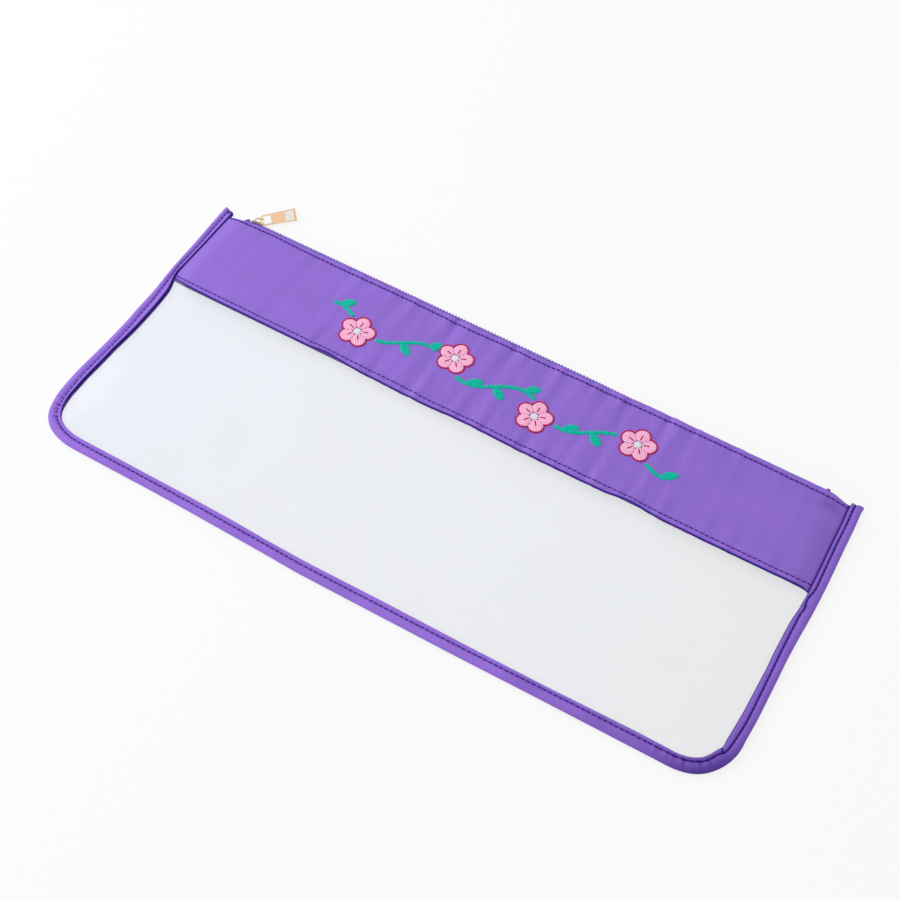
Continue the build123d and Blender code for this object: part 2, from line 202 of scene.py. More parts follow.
def wovenCloth(name, hexText, darkText, pitch, depth, roughness, mottle=0.05, twill=0.0):
    # plain woven cloth: warp and weft bands crossing give its grain and its soft broken gloss;
    # the true threads are finer than a pixel, so the pitch is as coarse as it needs to show
    material, tree = newMaterial(name)
    place = addNode(tree, "UVMap", uv_map="threads")
    warp, weft = [addNode(tree, "TexWave", {
        "Vector": place, "Scale": waveScale(pitch), "Distortion": 0.4, "Detail": 1.0,
    }, bands_direction=way).outputs["Fac"] for way in "XY"]
    weave = addNode(tree, "Math", {0: warp, 1: weft}, operation="MULTIPLY")
    cloud, fine = [addNode(tree, "TexNoise", {
        "Vector": place, "Scale": 1 / (size * mm), "Detail": 2.0, "Roughness": rough,
    }) for size, rough in ((26, 0.5), (1.1, 0.6))]
    tone = addNode(tree, "Mix", {"Factor": 0.5, "A": cloud, "B": fine}, data_type="FLOAT")
    shade = addNode(tree, "MapRange", {
        "Value": tone, "From Min": 0.3, "From Max": 0.7, "To Min": 1 - mottle, "To Max": 1 + mottle,
    })
    dip = addNode(tree, "MapRange", {"Value": weave, "From Max": 0.7, "To Min": 0.94, "To Max": 1.03})
    lit = addNode(tree, "Math", {0: shade, 1: dip}, operation="MULTIPLY")
    if twill:
        # the tape's slanting rib; its bands lie pi / 5 / sqrt 2 over the scale apart
        rib = addNode(tree, "TexWave", {
            "Vector": place, "Scale": waveScale(1.15) * math.sqrt(2), "Distortion": 1.0, "Detail": 1.0,
        }, bands_direction="DIAGONAL").outputs["Fac"]
        ribbed = addNode(tree, "MapRange", {"Value": rib, "To Min": 1 - twill, "To Max": 1 + twill})
        lit = addNode(tree, "Math", {0: lit, 1: ribbed}, operation="MULTIPLY")
    # painted shade: the mesh's painted shade attribute mixes the cloth's colour towards the dark colour
    shadow = addNode(tree, "Attribute", attribute_name="paintedShade").outputs["Fac"]
    base = addNode(tree, "Mix", {
        "A": toLinear(hexText), "B": toLinear(darkText), "Factor": shadow,
    }, data_type="RGBA").outputs[2]
    colour = addNode(tree, "VectorMath", {0: base, "Scale": lit}, operation="SCALE")
    grain = addNode(tree, "Bump", {"Height": weave, "Strength": 0.6, "Distance": depth * mm})
    skin = addNode(tree, "BsdfPrincipled", {
        "Base Color": colour, "Roughness": roughness, "IOR": 1.5, "Normal": grain,
        "Sheen Weight": 0.05, "Sheen Roughness": 0.4, "Specular IOR Level": 0.14,
    })
    addNode(tree, "OutputMaterial", {"Surface": skin})
    return material


def clearVinyl(name):
    # calendered PVC sheet, clear with a slight blue cast, with painted light that makes it paler at the left,
    # towards the lamp, and greyer at the right, and faint cloudy patches a little lighter and darker; nearly no
    # grain
    material, tree = newMaterial(name)
    place = addNode(tree, "TexCoord").outputs["Object"]
    axes = addNode(tree, "SeparateXYZ", {"Vector": place})
    across = addNode(tree, "MapRange", {"Value": axes.outputs["X"], "From Min": -0.21, "From Max": 0.21})
    # painted light: pale blue at the left, where the lamp is, falling to grey at the right
    ramp = addNode(tree, "ValToRGB", {"Fac": across}, stops=[
        (0.0, toLinear("#B4C8FF")), (1.0, toLinear("#90A6B6")), (0.5, toLinear("#B2C6EA")),
    ])
    cloud = addNode(tree, "TexNoise", {
        "Vector": place, "Scale": 1 / (45 * mm), "Detail": 3.0, "Roughness": 0.55,
    })
    shade = addNode(tree, "MapRange", {
        "Value": cloud, "From Min": 0.3, "From Max": 0.7, "To Min": 0.9, "To Max": 1.06,
    })
    colour = addNode(tree, "VectorMath", {0: ramp, "Scale": shade}, operation="SCALE")
    wrinkle = addNode(tree, "TexNoise", {"Vector": place, "Scale": 1 / (60 * mm), "Detail": 1.0})
    soft = addNode(tree, "Bump", {"Height": wrinkle, "Strength": 0.3, "Distance": 1.0 * mm})
    skin = addNode(tree, "BsdfPrincipled", {
        "Base Color": colour, "Roughness": 0.12, "IOR": 1.53, "Alpha": 0.045, "Normal": soft,
        "Specular IOR Level": 0.8,
    })
    addNode(tree, "OutputMaterial", {"Surface": skin})
    return material


def twistedThread(name, hexText, darkText, ply, roughness, sheen):
    # polyester or rayon thread: fine plies across it that catch the light side by side, as painted light and
    # dark stripes with a matching bump
    material, tree = newMaterial(name)
    place = addNode(tree, "UVMap", uv_map="threads")
    strand = addNode(tree, "TexWave", {
        "Vector": place, "Scale": waveScale(ply), "Distortion": 0.5, "Detail": 1.0,
    }, bands_direction="X").outputs["Fac"]
    # painted highlight and shade: each ply's band runs from the dark colour to the light one
    colour = addNode(tree, "Mix", {
        "A": toLinear(darkText), "B": toLinear(hexText), "Factor": strand,
    }, data_type="RGBA").outputs[2]
    ridge = addNode(tree, "Bump", {"Height": strand, "Strength": 0.7, "Distance": 0.12 * mm})
    skin = addNode(tree, "BsdfPrincipled", {
        "Base Color": colour, "Roughness": roughness, "IOR": 1.5, "Sheen Weight": sheen,
        "Sheen Roughness": 0.35, "Normal": ridge, "Specular IOR Level": 0.12,
    })
    addNode(tree, "OutputMaterial", {"Surface": skin})
    return material


def mouldedNylon(name, hexText, darkText, roughness):
    # dyed nylon, drawn as coil wire or moulded on the tape: slightly cloudy, with a waxy gloss
    material, tree = newMaterial(name)
    place = addNode(tree, "TexCoord").outputs["Object"]
    cloud = addNode(tree, "TexNoise", {"Vector": place, "Scale": 1 / (1.4 * mm), "Detail": 2.0})
    colour = addNode(tree, "Mix", {
        "A": toLinear(darkText), "B": toLinear(hexText), "Factor": cloud,
    }, data_type="RGBA").outputs[2]
    ridge = addNode(tree, "Bump", {"Height": cloud, "Strength": 0.2, "Distance": 0.05 * mm})
    skin = addNode(tree, "BsdfPrincipled", {
        "Base Color": colour, "Roughness": roughness, "IOR": 1.53, "Normal": ridge,
    })
    addNode(tree, "OutputMaterial", {"Surface": skin})
    return material


def goldPlate(name, faceText, rimText, normal, patch=None):
    # pale gold plating on die-cast zinc, tumbled smooth: even on the flats, browner round the edges in painted
    # shade, set by how far a face turns from the flat face, and a little uneven in gloss
    material, tree = newMaterial(name)
    coords = addNode(tree, "TexCoord")
    place, out = coords.outputs["Object"], coords.outputs["Normal"]
    # painted shade: faces that turn away from the given flat face take the darker rim colour
    lean = addNode(tree, "VectorMath", {0: out, 1: normal}, operation="DOT_PRODUCT").outputs["Value"]
    flat = addNode(tree, "Math", {0: lean}, operation="ABSOLUTE")
    edge = addNode(tree, "MapRange", {"Value": flat, "From Min": 0.72, "From Max": 0.99})
    worn = addNode(tree, "TexNoise", {"Vector": place, "Scale": 1 / (1.2 * mm), "Detail": 3.0})
    shadedPlate = addNode(tree, "Mix", {
        "A": toLinear(rimText), "B": toLinear(faceText), "Factor": edge,
    }, data_type="RGBA").outputs[2]
    if patch:
        # a pale grey-white rectangle on the flat face near the pull's far end, in the pull's own two directions
        inside = edge
        for way, start, end in patch["spans"]:
            far = addNode(tree, "VectorMath", {0: place, 1: way}, operation="DOT_PRODUCT").outputs["Value"]
            for kind, limit in (("GREATER_THAN", start), ("LESS_THAN", end)):
                mask = addNode(tree, "Math", {0: far, 1: limit}, operation=kind)
                inside = addNode(tree, "Math", {0: inside, 1: mask}, operation="MULTIPLY")
        shadedPlate = addNode(tree, "Mix", {
            "A": shadedPlate, "B": toLinear(patch["hex"]), "Factor": inside,
        }, data_type="RGBA").outputs[2]
    rough = addNode(tree, "MapRange", {
        "Value": worn, "From Min": 0.3, "From Max": 0.7, "To Min": 0.24, "To Max": 0.36,
    })
    ridge = addNode(tree, "Bump", {"Height": worn, "Strength": 0.1, "Distance": 0.05 * mm})
    skin = addNode(tree, "BsdfPrincipled", {
        "Base Color": shadedPlate, "Metallic": 1.0, "Roughness": rough, "Normal": ridge,
    })
    addNode(tree, "OutputMaterial", {"Surface": skin})
    return material


headerCloth = wovenCloth(
    "satin_nylon_header", "#A17AE3", "#32098A", pitch=0.55, depth=0.05, roughness=0.55, mottle=0.07)
bindingCloth = wovenCloth(
    "nylon_binding_tape", "#9C74DF", "#26067C", pitch=0.7, depth=0.08, roughness=0.6, mottle=0.12, twill=0.08)
tapeCloth = wovenCloth(
    "woven_polyester_zip_tape", "#7C57C6", "#3A1C86", pitch=0.6, depth=0.08, roughness=0.6)
vinyl = clearVinyl("clear_pvc_sheet")
coilNylon = mouldedNylon("nylon_coil_wire", "#B29CEA", "#9078D2", 0.4)
stopNylon = mouldedNylon("moulded_nylon_stop", "#5C3EB0", "#442894", 0.45)
# light and dark colour, ply, roughness and sheen of each thread
seamThread, tealThread, pinkThread, crimsonThread, whiteThread = [twistedThread(*row) for row in (
    ("twisted_polyester_thread", "#3A0A92", "#260672", 0.5, 0.6, 0.0),
    ("rayon_thread_teal", "#04D6BA", "#009684", 1.5, 0.36, 0.04),
    ("rayon_thread_pink", "#FFD0E6", "#F49AC8", 1.5, 0.36, 0.1),
    ("rayon_thread_crimson", "#DA1660", "#A00844", 1.5, 0.38, 0.04),
    ("rayon_thread_white", "#F6F3F6", "#D9D4DC", 0.7, 0.4, 0.3),
)]
print("materials made")


# The outline, shared by the panels and the binding.

pouch = {
    "halfWidth": 220.0,
    "halfHeight": 100.0,
    "cornerRadius": 30.0,
    "frontFlange": 1.4,      # under faces of the front and back cloths inside the seam
    "backFlange": 0.7,
    "frontLevel": 5.8,       # and of the front cloth where it lies level
    "riseRun": 15.0,         # how far past the binding a panel reaches its level by the headers
    "windowRiseRun": 24.0,   # and round the clear part's lower end
    "bowReach": 45.0,        # how far in the panels follow the seam's bow
}

seam = {
    # along the outer edge from the top left end, down, round and up to the top right end: how far
    # it lies out from the plan, the binding's width and how far in from its fold it is stitched
    "outAt": [0, 18, 34, 50, 66, 74, 82, 98, 110, 122, 138, 146, 154, 162, 170, 176, 182, 188, 194, 200,
              206, 212, 218, 275, 300, 350, 375, 400, 475, 525, 575, 600, 606, 612, 618, 630, 648, 660,
              692, 700, 716, 732, 748, 764, 780, 796, 804, 812],
    "out": [-0.2, -0.55, -1.0, -1.0, -1.4, -2.1, -2.45, -2.3, -2.6, -2.2, -1.5, -0.9, -0.4, -0.4, -0.8,
            -1.15, -0.7, 0.3, 0.44, 0.1, -0.4, -0.66, -0.27, -0.2, 0.15, 1.26, 2.1, 1.95, 1.4, 0.55, 0.0,
            -0.3, 0.1, 0.7, 0.73, 0.28, 0.1, 0.65, 0.35, 0.1, 0.45, 1.1, 1.25, 1.0, 0.5, 0.3, -0.2, -0.4],
    "widthAt": [0, 5, 40, 62, 74, 90, 98, 114, 130, 146, 162, 182, 206, 225, 275, 325, 350, 375, 425, 525,
                575, 600, 612, 620, 627, 632, 635, 641, 648, 676, 692, 724, 732, 748, 812],
    "width": [7.4, 7.1, 5.8, 5.2, 8.2, 8.9, 9.0, 8.5, 7.9, 8.3, 8.3, 7.7, 7.7, 7.6, 7.5, 7.9, 7.5, 7.9, 8.25,
              7.85, 8.7, 8.45, 8.7, 8.5, 8.8, 9.0, 7.9, 8.9, 8.5, 8.1, 7.8, 8.4, 7.8, 7.4, 7.4],
    "stitchAt": [0, 20, 40, 56, 70, 90, 120, 150, 170, 185, 200, 230, 300, 400, 500, 580, 606, 615, 620, 627,
                 631, 634, 637, 643, 649, 654, 660, 700, 724, 729, 734, 738, 742, 745, 749, 752, 780, 800, 812],
    "stitch": [3.9, 3.8, 3.8, 3.2, 3.7, 4.4, 4.95, 4.95, 5.3, 5.1, 5.3, 4.65, 4.65, 5.05, 5.4, 6.05, 6.3, 6.3,
               6.0, 6.6, 6.3, 4.9, 5.3, 5.1, 4.55, 4.3, 4.4, 4.7, 5.4, 5.8, 4.9, 5.9, 5.95, 5.1, 4.5, 4.75, 5.0,
               4.8, 4.9],
    "soft": {"out": 5.0, "width": 2.5, "stitch": 1.8},   # how far each table is smoothed
}


def smoothTable(place, at, values, soft):
    # values joined by straight lines, then averaged under a bell as wide as soft
    offsets = np.linspace(-1.5, 1.5, 7)
    shares = np.exp(-offsets ** 2)
    shares /= shares.sum()
    return sum(share * np.interp(place + o * soft, at, values) for o, share in zip(offsets, shares))


def seamAt(s, name):
    # one of the seam's three measures at s, its table smoothed over its own length
    return smoothTable(s, seam[name + "At"], seam[name], seam["soft"][name])


def seamLength():
    # two straight sides, the bottom and two quarter turns
    r = pouch["cornerRadius"]
    return 2 * (2 * pouch["halfHeight"] - r) + math.pi * r + 2 * (pouch["halfWidth"] - r)


def seamPath(s):
    # the plan's edge: down the left side, a quarter turn, along the bottom, a quarter turn and up;
    # gives the point and the direction into the pouch
    r = pouch["cornerRadius"]
    side = 2 * pouch["halfHeight"] - r
    arc = r * math.pi / 2
    floorRun = 2 * (pouch["halfWidth"] - r)
    a1 = np.clip((s - side) / arc, 0, 1) * math.pi / 2
    a2 = np.clip((s - side - arc - floorRun) / arc, 0, 1) * math.pi / 2
    turn = math.pi + a1 + a2
    along = np.clip(s - side - arc, 0, floorRun)
    up = np.clip(s - side - 2 * arc - floorRun, 0, None)
    x = r - pouch["halfWidth"] + along + r * np.cos(turn)
    y = np.where(a1 > 0, r - pouch["halfHeight"] + r * np.sin(turn), pouch["halfHeight"] - s) + up
    return np.stack([x, y], -1), np.stack([-np.cos(turn), -np.sin(turn)], -1)


def seamFrame(x, y):
    # the way back from plan points: the place along the seam, the distance in from the plan's edge
    # and the direction inwards, from the nearest side or the arc in a lower corner
    r = pouch["cornerRadius"]
    side, low = pouch["halfWidth"] - np.abs(x), pouch["halfHeight"] + y
    corner = (side < r) & (low < r)
    byside = ~corner & (side <= low)
    angle = np.arctan2(r - low, r - side)
    upright, arc = 2 * pouch["halfHeight"] - r, r * math.pi / 2
    bend = np.where(corner, upright + r * angle, upright + arc + side - r)
    s = np.where(byside, pouch["halfHeight"] - y, bend)
    s = np.where(x > 0, seamLength() - s, s)
    inset = np.where(corner, r - np.hypot(r - side, r - low), np.minimum(side, low))
    inX = np.where(byside, 1.0, np.where(corner, np.cos(angle), 0.0)) * np.where(x > 0, -1, 1)
    inY = np.where(byside, 0.0, np.where(corner, np.sin(angle), 1.0))
    return s, inset, inX, inY


def bowed(x, y):
    # plan points drawn in or out with the seam, less and less further in
    s, inset, inX, inY = seamFrame(x, y)
    move = -seamAt(s, "out") * (1 - ease(inset / pouch["bowReach"]))
    return x + inX * move, y + inY * move


def pastBinding(x, y):
    # distance in from the binding's inner edge
    s, inset, inX, inY = seamFrame(x, y)
    return inset + seamAt(s, "out") - seamAt(s, "width")


def riseOf(x, y):
    # 0 under the binding, 1 where the panel lies level; 2t - t^2 between, steep at the seam as on
    # a pillow
    wider = ease((24.0 - y) / 70)
    run = pouch["riseRun"] + (pouch["windowRiseRun"] - pouch["riseRun"]) * wider
    t = np.clip((pastBinding(x, y) + 0.2) / run, 0, 1)
    return t * (2 - t)


# The front and back headers.

header = {
    "thickness": 0.7,
    "halfLength": 219.2,
    "columns": 660,
    "motifY": 60.5,
    "level": 6.5,
    # four lines along the cloth, each as places along the zipper and heights seen on the level
    # cloth: the hem's fold, its stitches, the top row of stitches and the top fold
    "hem": ([-213, -205, -195, -180, -150, -120, -110, -104, -98, -92, -84, -76, -60, -45, -25, -10, 5, 20,
             35, 80, 92, 99, 104, 110, 118, 126, 150, 180, 200, 210.5, 213, 215],
            [31.0, 30.7, 30.2, 30.0, 30.0, 29.9, 29.7, 30.8, 31.1, 30.6, 29.8, 29.2, 28.9, 28.5, 28.4, 29.3,
             29.2, 28.8, 28.4, 28.5, 28.9, 30.0, 30.3, 30.0, 28.9, 28.5, 28.5, 28.7, 29.0, 29.1, 28.0, 25.2]),
    "hemSeam": ([-213, -110, -100, -72, -50, -35, -25, -10, 10, 25, 45, 78, 104, 122, 158, 190, 213],
                [33.4, 33.4, 33.6, 33.1, 33.1, 32.5, 32.2, 32.6, 32.6, 32.2, 32.5, 32.5, 32.8, 32.1, 32.1,
                 32.4, 32.8]),
    "topSeam": ([-213, -205, -196, -176, -156, -130, -80, -60, -36, -6, 14, 44, 74, 100, 118, 158, 178, 198,
                 204, 211],
                [90.0, 91.3, 91.5, 92.0, 91.3, 91.0, 91.3, 90.9, 90.3, 91.0, 90.7, 91.2, 91.0, 91.4, 91.8, 91.8,
                 91.3, 91.3, 90.8, 89.5]),
    "top": ([-216, -211, -207, -203, -199, -194, -180, 45, 85, 140, 188, 198, 203, 207, 211, 216],
            [90.8, 91.0, 92.1, 92.4, 93.4, 94.1, 94.3, 94.3, 95.7, 95.6, 95.3, 95.3, 94.7, 93.1, 91.6, 91.3]),
    "backHem": 32.9,
    "backTop": 93.4,
    "backHemSeam": 3.6,
    "backTopSeam": 2.4,
    "backGroove": 0.38,
    # how strongly the cloth is pleated along its length
    "pleatAt": [-205, -150, -110, -60, 110, 150, 205],
    "pleat": [0.12, 0.3, 0.6, 1.0, 1.0, 0.55, 0.35],
}


def clothLevel(x, y):
    # top face of the front header before its relief
    flange = pouch["frontFlange"] + header["thickness"]
    return flange + (header["level"] - flange) * riseOf(x, y)


def headerLine(x, name, y):
    # where the cloth lies lower the line runs further up it, by the camera's slant, so that the
    # lines stay straight as seen; y is the line's rough height
    slant = (y - camera["place"][1]) / camera["place"][2]
    return smoothTable(x, *header[name], 2.5) + slant * (header["level"] - clothLevel(x, y + 0 * x))


def headerLines(x):
    # the four lines at x, each from its rough height
    return [headerLine(x, name, y) for name, y in
            (("hem", 30.0), ("hemSeam", 33.0), ("topSeam", 91.0), ("top", 94.0))]


def headerPleats(x, y, up, down):
    # pleats drawn by the two seams, their height from -1 to 1 times their strength, in uneven
    # groups: long ones fade over 13 mm, short ones over 6 mm; up and down are the distances past
    # the two seams
    strength = smoothTable(x, header["pleatAt"], header["pleat"], 15.0)
    strength = strength * (0.75 + 0.45 * ripple(x, 0.4 * y, 37.0, 0.3))
    reach = 0.25 + 0.75 * np.exp(-down / 13) + 0.6 * np.exp(-up / 11)
    short = np.exp(-down / 7) + 0.8 * np.exp(-up / 5)
    long = 0.68 * reach * ripple(x, 0.12 * y, 13.0, 0.05)
    return strength * (long + 0.32 * short * ripple(x, 0.2 * y, 5.6, 0.1))


def besideStitches(x, up, down):
    # the cloth's small lift between two needle holes, along both rows of stitches
    wave = np.cos(2 * math.pi * (x - stitching["start"]) / stitching["pitch"])
    return wave * (bump(up - 1.1, 0.8) * (up > 0) + bump(down - 1.1, 0.8) * (down > 0))


def headerPlace(x, y):
    # the four lines at x, and how far y lies past the hem's stitches and short of the top ones
    low, lowSeam, highSeam, high = headerLines(x)
    return low, lowSeam, highSeam, high, np.clip(y - lowSeam, 0, 99), np.clip(highSeam - y, 0, 99)


def headerRelief(x, y):
    # rolls beyond both stitch rows, grooves at them, pleats that fade away from them, a small
    # pinch at each stitch, a ring of pulled cloth round the embroidery, a broad soft swell and
    # the corner's dent
    low, lowSeam, highSeam, high, up, down = headerPlace(x, y)
    hemShare = np.clip((y - low) / (lowSeam - low), 0, 1)
    topShare = np.clip((high - y) / (high - highSeam), 0, 1)
    relief = 0.42 * np.sin(math.pi * hemShare) + 0.34 * np.sin(math.pi * topShare)
    relief -= 0.42 * bump(y - lowSeam, 0.5) + 0.42 * bump(highSeam - y, 0.5)
    relief -= 0.45 * bump(y - low, 0.3) + 0.4 * bump(high - y, 0.3)
    relief += 0.64 * headerPleats(x, y, up, down) + 0.1 * besideStitches(x, up, down)
    reach = ease((134 - np.abs(x)) / 18)
    relief += 0.18 * bump(np.abs(y - header["motifY"]) - 15, 7.0) * reach * ripple(x, y, 7.5, 0.3)
    relief += 0.3 * ripple(x, 0.6 * y, 74.0, 0.5) * ease(up / 14) * ease(down / 14)
    return np.maximum(relief - 0.42 * headerDent(x, y), -0.62)


def headerDent(x, y):
    # the soft hollow in the top right corner, 0 to 1
    return np.exp(-((x - 203) / 7) ** 2 - ((y - 86.5) / 3.6) ** 2)


def headerTop(x, y):
    # outer face of the front header: its level and the relief, which fades into the seam
    rise = riseOf(x, y)
    return clothLevel(x, y) + headerRelief(x, y) * ease(rise * 3)


def headerShade(x, y):
    # shade held in the stitched grooves, under the folds, along the binding and in the pleats
    low, lowSeam, highSeam, high, up, down = headerPlace(x, y)
    shade = 0.3 * bump(y - lowSeam, 0.45) + 0.4 * bump(y - highSeam, 0.55)
    shade += 1.1 * bump(y - low, 0.55) + 0.5 * bump(high - y, 0.35)
    shade += 1.0 * bump(pastBinding(x, y), 0.8) + 0.24 * headerDent(x, y)
    shade += 0.32 * (0.62 - headerPleats(x, y, up, down)) - 0.08 * besideStitches(x, up, down)
    return np.clip(shade, 0, 1)


def acrossHeader(low, lowSeam, highSeam, high):
    # rows from fold to fold, crowded at the folds and stitches, about 2.3 mm apart between
    strip = np.array([0, 0.03, 0.08, 0.16, 0.27, 0.4, 0.53, 0.66, 0.77, 0.86, 0.93])
    near = np.array([0.0, 0.006, 0.014, 0.026, 0.045, 0.075])
    middle = np.concatenate([near, np.linspace(0.115, 0.885, 19), 1 - near[:0:-1]])
    parts = [low + (lowSeam - low) * strip, lowSeam + (highSeam - lowSeam) * middle,
             high - (high - highSeam) * np.append(strip, 1.0)[::-1]]
    return np.concatenate(parts, axis=1)


def sheetMesh(x, y, top, under):
    # a sheet's two faces over the same plan points as one closed shell
    return shellOf(np.stack([x, y, top], -1), np.stack([x, y, under], -1))


def clothPiece(name, x, y, top, under, shade):
    # a header's two faces as one closed cloth with its threads' own coordinates
    points, quads = sheetMesh(x, y, top, under)
    uv = np.tile(np.stack([x, y], -1).reshape(-1, 2), (2, 1))
    # painted shade: the given shade on the outer face, an even 0.35 on the underside
    paintedShade = np.concatenate([shade.ravel(), np.full(shade.size, 0.35)])
    return makePiece(name, points, quads, headerCloth, uv=uv, paintedShade=paintedShade)


def makeFrontHeader():
    # even steps along the zipper and acrossHeader() across, lifted to headerTop
    x = np.linspace(-header["halfLength"], header["halfLength"], header["columns"])[:, None]
    y = acrossHeader(*headerLines(x))
    x, y = bowed(x + 0 * y, y)
    top = headerTop(x, y)
    low, lowSeam, highSeam, high = headerLines(x)
    under = top - header["thickness"] - 0.25 * (bump(y - low, 2.0) + bump(high - y, 1.4))
    under = np.maximum(under, pouch["frontFlange"] - 0.02)
    return clothPiece("front_header_cloth", x, y, top, under, headerShade(x, y))


def makeBackHeader():
    # the same cloth behind, flat on the floor, its flange lifted into the binding
    x = np.linspace(-header["halfLength"], header["halfLength"], 240)[:, None]
    low, high = header["backHem"], header["backTop"]
    lowSeam, highSeam = low + header["backHemSeam"], high - header["backTopSeam"]
    y = acrossHeader(low + 0 * x, lowSeam + 0 * x, highSeam + 0 * x, high + 0 * x)
    x, y = bowed(x + 0 * y, y)
    lift = pouch["backFlange"] * (1 - riseOf(x, y))
    puckers = 0.08 * (1 + ripple(x, 0.25 * y, 7.0, 0.1)) * (bump(y - lowSeam, 5.0) + bump(highSeam - y, 6.0))
    groove = header["backGroove"] * (bump(y - lowSeam, 0.5) + bump(y - highSeam, 0.5))
    top = lift + header["thickness"] + 0.4 * puckers + 0.35 * ease(lowSeam - y)
    # painted shade: an even darkening all over and more along the hem's fold
    shade = 0.13 + 0.4 * bump(y - low, 0.5)
    return clothPiece("back_header_cloth", x, y, top, lift + groove + puckers, shade)


stitching = {
    "start": -213.6,
    "pitch": 3.2,
    "length": 2.3,
    "panelThread": 0.9,
    "bindingThread": 0.66,
    "backThread": 0.5,       # thinner behind, where the pouch lies on it
    "rise": 0.12,
    "rings": 7,
    "sides": 6,
}

standFor(makeFrontHeader(), "front_header_band", "header_nylon",
         flat=(0.438, 0.0635), held="stretched", rests_on=["front_window", "front_zipper_tape"])
standFor(makeBackHeader(), "back_header_band", "header_nylon",
         flat=(0.438, 0.0612), held="laid", rests_on=["edge_binding"])
print("headers made")


windowPane = {
    "edgeInset": 1.0,       # how near its cut edge lies to the pouch's outer edge
    "thickness": 0.4,
    "topY": 37.0,
    "wrinkle": 0.16,
}


def paneGrid(columns, rows, topY):
    # columns crowded to the ends; each runs from the rounded outline up to the top edge, and all
    # are drawn in or out with the seam
    half = pouch["halfWidth"] - windowPane["edgeInset"]
    turn = np.linspace(-1, 1, columns)
    x = half * np.sin(turn * math.pi / 2) * 0.35 + half * turn * 0.65
    r = pouch["cornerRadius"] - windowPane["edgeInset"]
    over = np.clip(np.abs(x) - (half - r), 0, r)
    low = -pouch["halfHeight"] + windowPane["edgeInset"] + r - np.sqrt(r * r - over * over)
    share = np.linspace(0, 1, rows)
    share = 0.75 * share + 0.25 * (0.5 - 0.5 * np.cos(share * math.pi))
    x, share = np.meshgrid(x, share, indexing="ij")
    return bowed(x, low[:, None] + (topY - low[:, None]) * share)


def makeFrontPane():
    # the clear sheet: in the seam it lies flat, then swells to just below the header's cloth
    x, y = paneGrid(190, 90, windowPane["topY"])
    flange = pouch["frontFlange"] + header["thickness"] - 0.06
    level = pouch["frontLevel"] - 0.05
    rise = riseOf(x, y)
    drape = windowPane["wrinkle"] * (ripple(x, y, 86.0, 0.9) + 0.5 * ripple(x, y, 31.0, 2.1)) - 0.2
    top = flange + (level - flange) * rise + drape * ease(rise * 1.5) * ease((24.0 - y) / 20)
    crease = bump((x - 21) * 0.78 + (y + 16) * 0.62, 1.6) * bump((x - 21) * 0.62 - (y + 16) * 0.78, 26)
    top -= 0.18 * crease
    return makePiece("front_clear_pane", *sheetMesh(x, y, top, top - windowPane["thickness"]), vinyl)


def makeBackPane():
    # the sheet below, lying on the floor, lifted at the seam and over the back header's hem
    x, y = paneGrid(150, 80, windowPane["topY"] + 0.8)
    rise = riseOf(x, y)
    under = pouch["backFlange"] * (1 - rise) + 1.05 * ease((y - 24.0) / 7.0) * rise
    under += 0.1 * (1 + ripple(x, y, 90.0, 0.4)) * rise * ease((20 - y) / 20)
    return makePiece("back_clear_pane", *sheetMesh(x, y, under + windowPane["thickness"], under), vinyl)


standFor(makeFrontPane(), "front_window", "clear_vinyl",
         flat=(0.438, 0.136), held="stretched", rests_on=["edge_binding"])
standFor(makeBackPane(), "back_window", "clear_vinyl",
         flat=(0.438, 0.137), held="laid", rests_on=["edge_binding"])
print("clear panes made")


# The folded tape round three sides.

binding = {
    "ply": 0.7,
    "foldRadius": 1.4,
    "middle": 1.42,          # the outer fold's own height
    "crest": 3.2,            # the puffed outer band
    "crestShare": 0.58,
    "groove": 2.3,           # the stitched line
    "backGroove": 0.37,      # and on the underside
    "ridge": 3.05,           # the narrow inner roll
    # groups of short folds: height, middle and spread along the seam, slant and wave length, and
    # middle and spread across it: the left corner, the right corner and beside the header's hem
    "puckers": [(0.62, 184, 15, 0.5, 3.4, 0.8, 3.0), (0.36, 604, 24, 0.3, 5.2, 0.75, 2.6),
                (0.26, 740, 9, 0.8, 8.5, 0.8, 2.6)],
    # steps along the seam: closer in the two puckered corners
    "runs": [(0, 165, 127), (165, 215, 84), (215, 580, 281), (580, 645, 108), (645, 814.2, 141)],
    # along the seam, for the painted shade: how dark the inner edge's wall, its extra width, the groove and the
    # outer band are, the last where the band turns away from the light
    "wall": ([0, 170, 200, 560, 625, 645, 740, 812], [1.0, 1.0, 0.3, 0.3, 0.4, 0.75, 0.85, 0.85]),
    "wallWidth": ([0, 55, 68, 175, 200, 625, 645, 812], [0.1, 0.1, 0.9, 0.8, 0.0, 0.0, 0.25, 0.1]),
    "grooveShade": ([0, 160, 220, 560, 628, 645, 812], [0.35, 0.35, 0.45, 0.45, 0.5, 0.85, 0.85]),
    "bandShade": ([0, 450, 500, 580, 606, 618, 636, 660, 700, 812],
                  [0.0, 0.0, 0.05, 0.26, 0.7, 0.82, 0.58, 0.36, 0.27, 0.18]),
}


def overlapCrease(s, d, stitch):
    # the slanting crease over the inner roll where the tape laps over its own pleat, 0 to 1
    return bump(s - 629.0 - 0.65 * d, 0.75) * ease((d - stitch + 0.6) / 0.8)


def bindingPuckers(s, d, stitch):
    # short folds pulled by the seam in groups, faint ones along the stitches, slow waves on the
    # band, and the lap in the right corner
    folds = 0.09 * ripple(s, 0.6 * d, 4.3) * bump(d - stitch, 1.6)
    for high, middle, spread, slant, wave, place, wide in binding["puckers"]:
        group = bump(s - middle, spread) * bump(d - place * stitch, wide)
        folds = folds + high * group * ripple(s, slant * d, wave)
    lap = 0.2 * bump(s - 637.0, 3.0) * bump(d - stitch - 1.4, 1.5) - 0.5 * overlapCrease(s, d, stitch)
    return folds + lap + 0.12 * ripple(s, 2 * d, 38.0) * bump(d - 0.5 * stitch, 2.5)


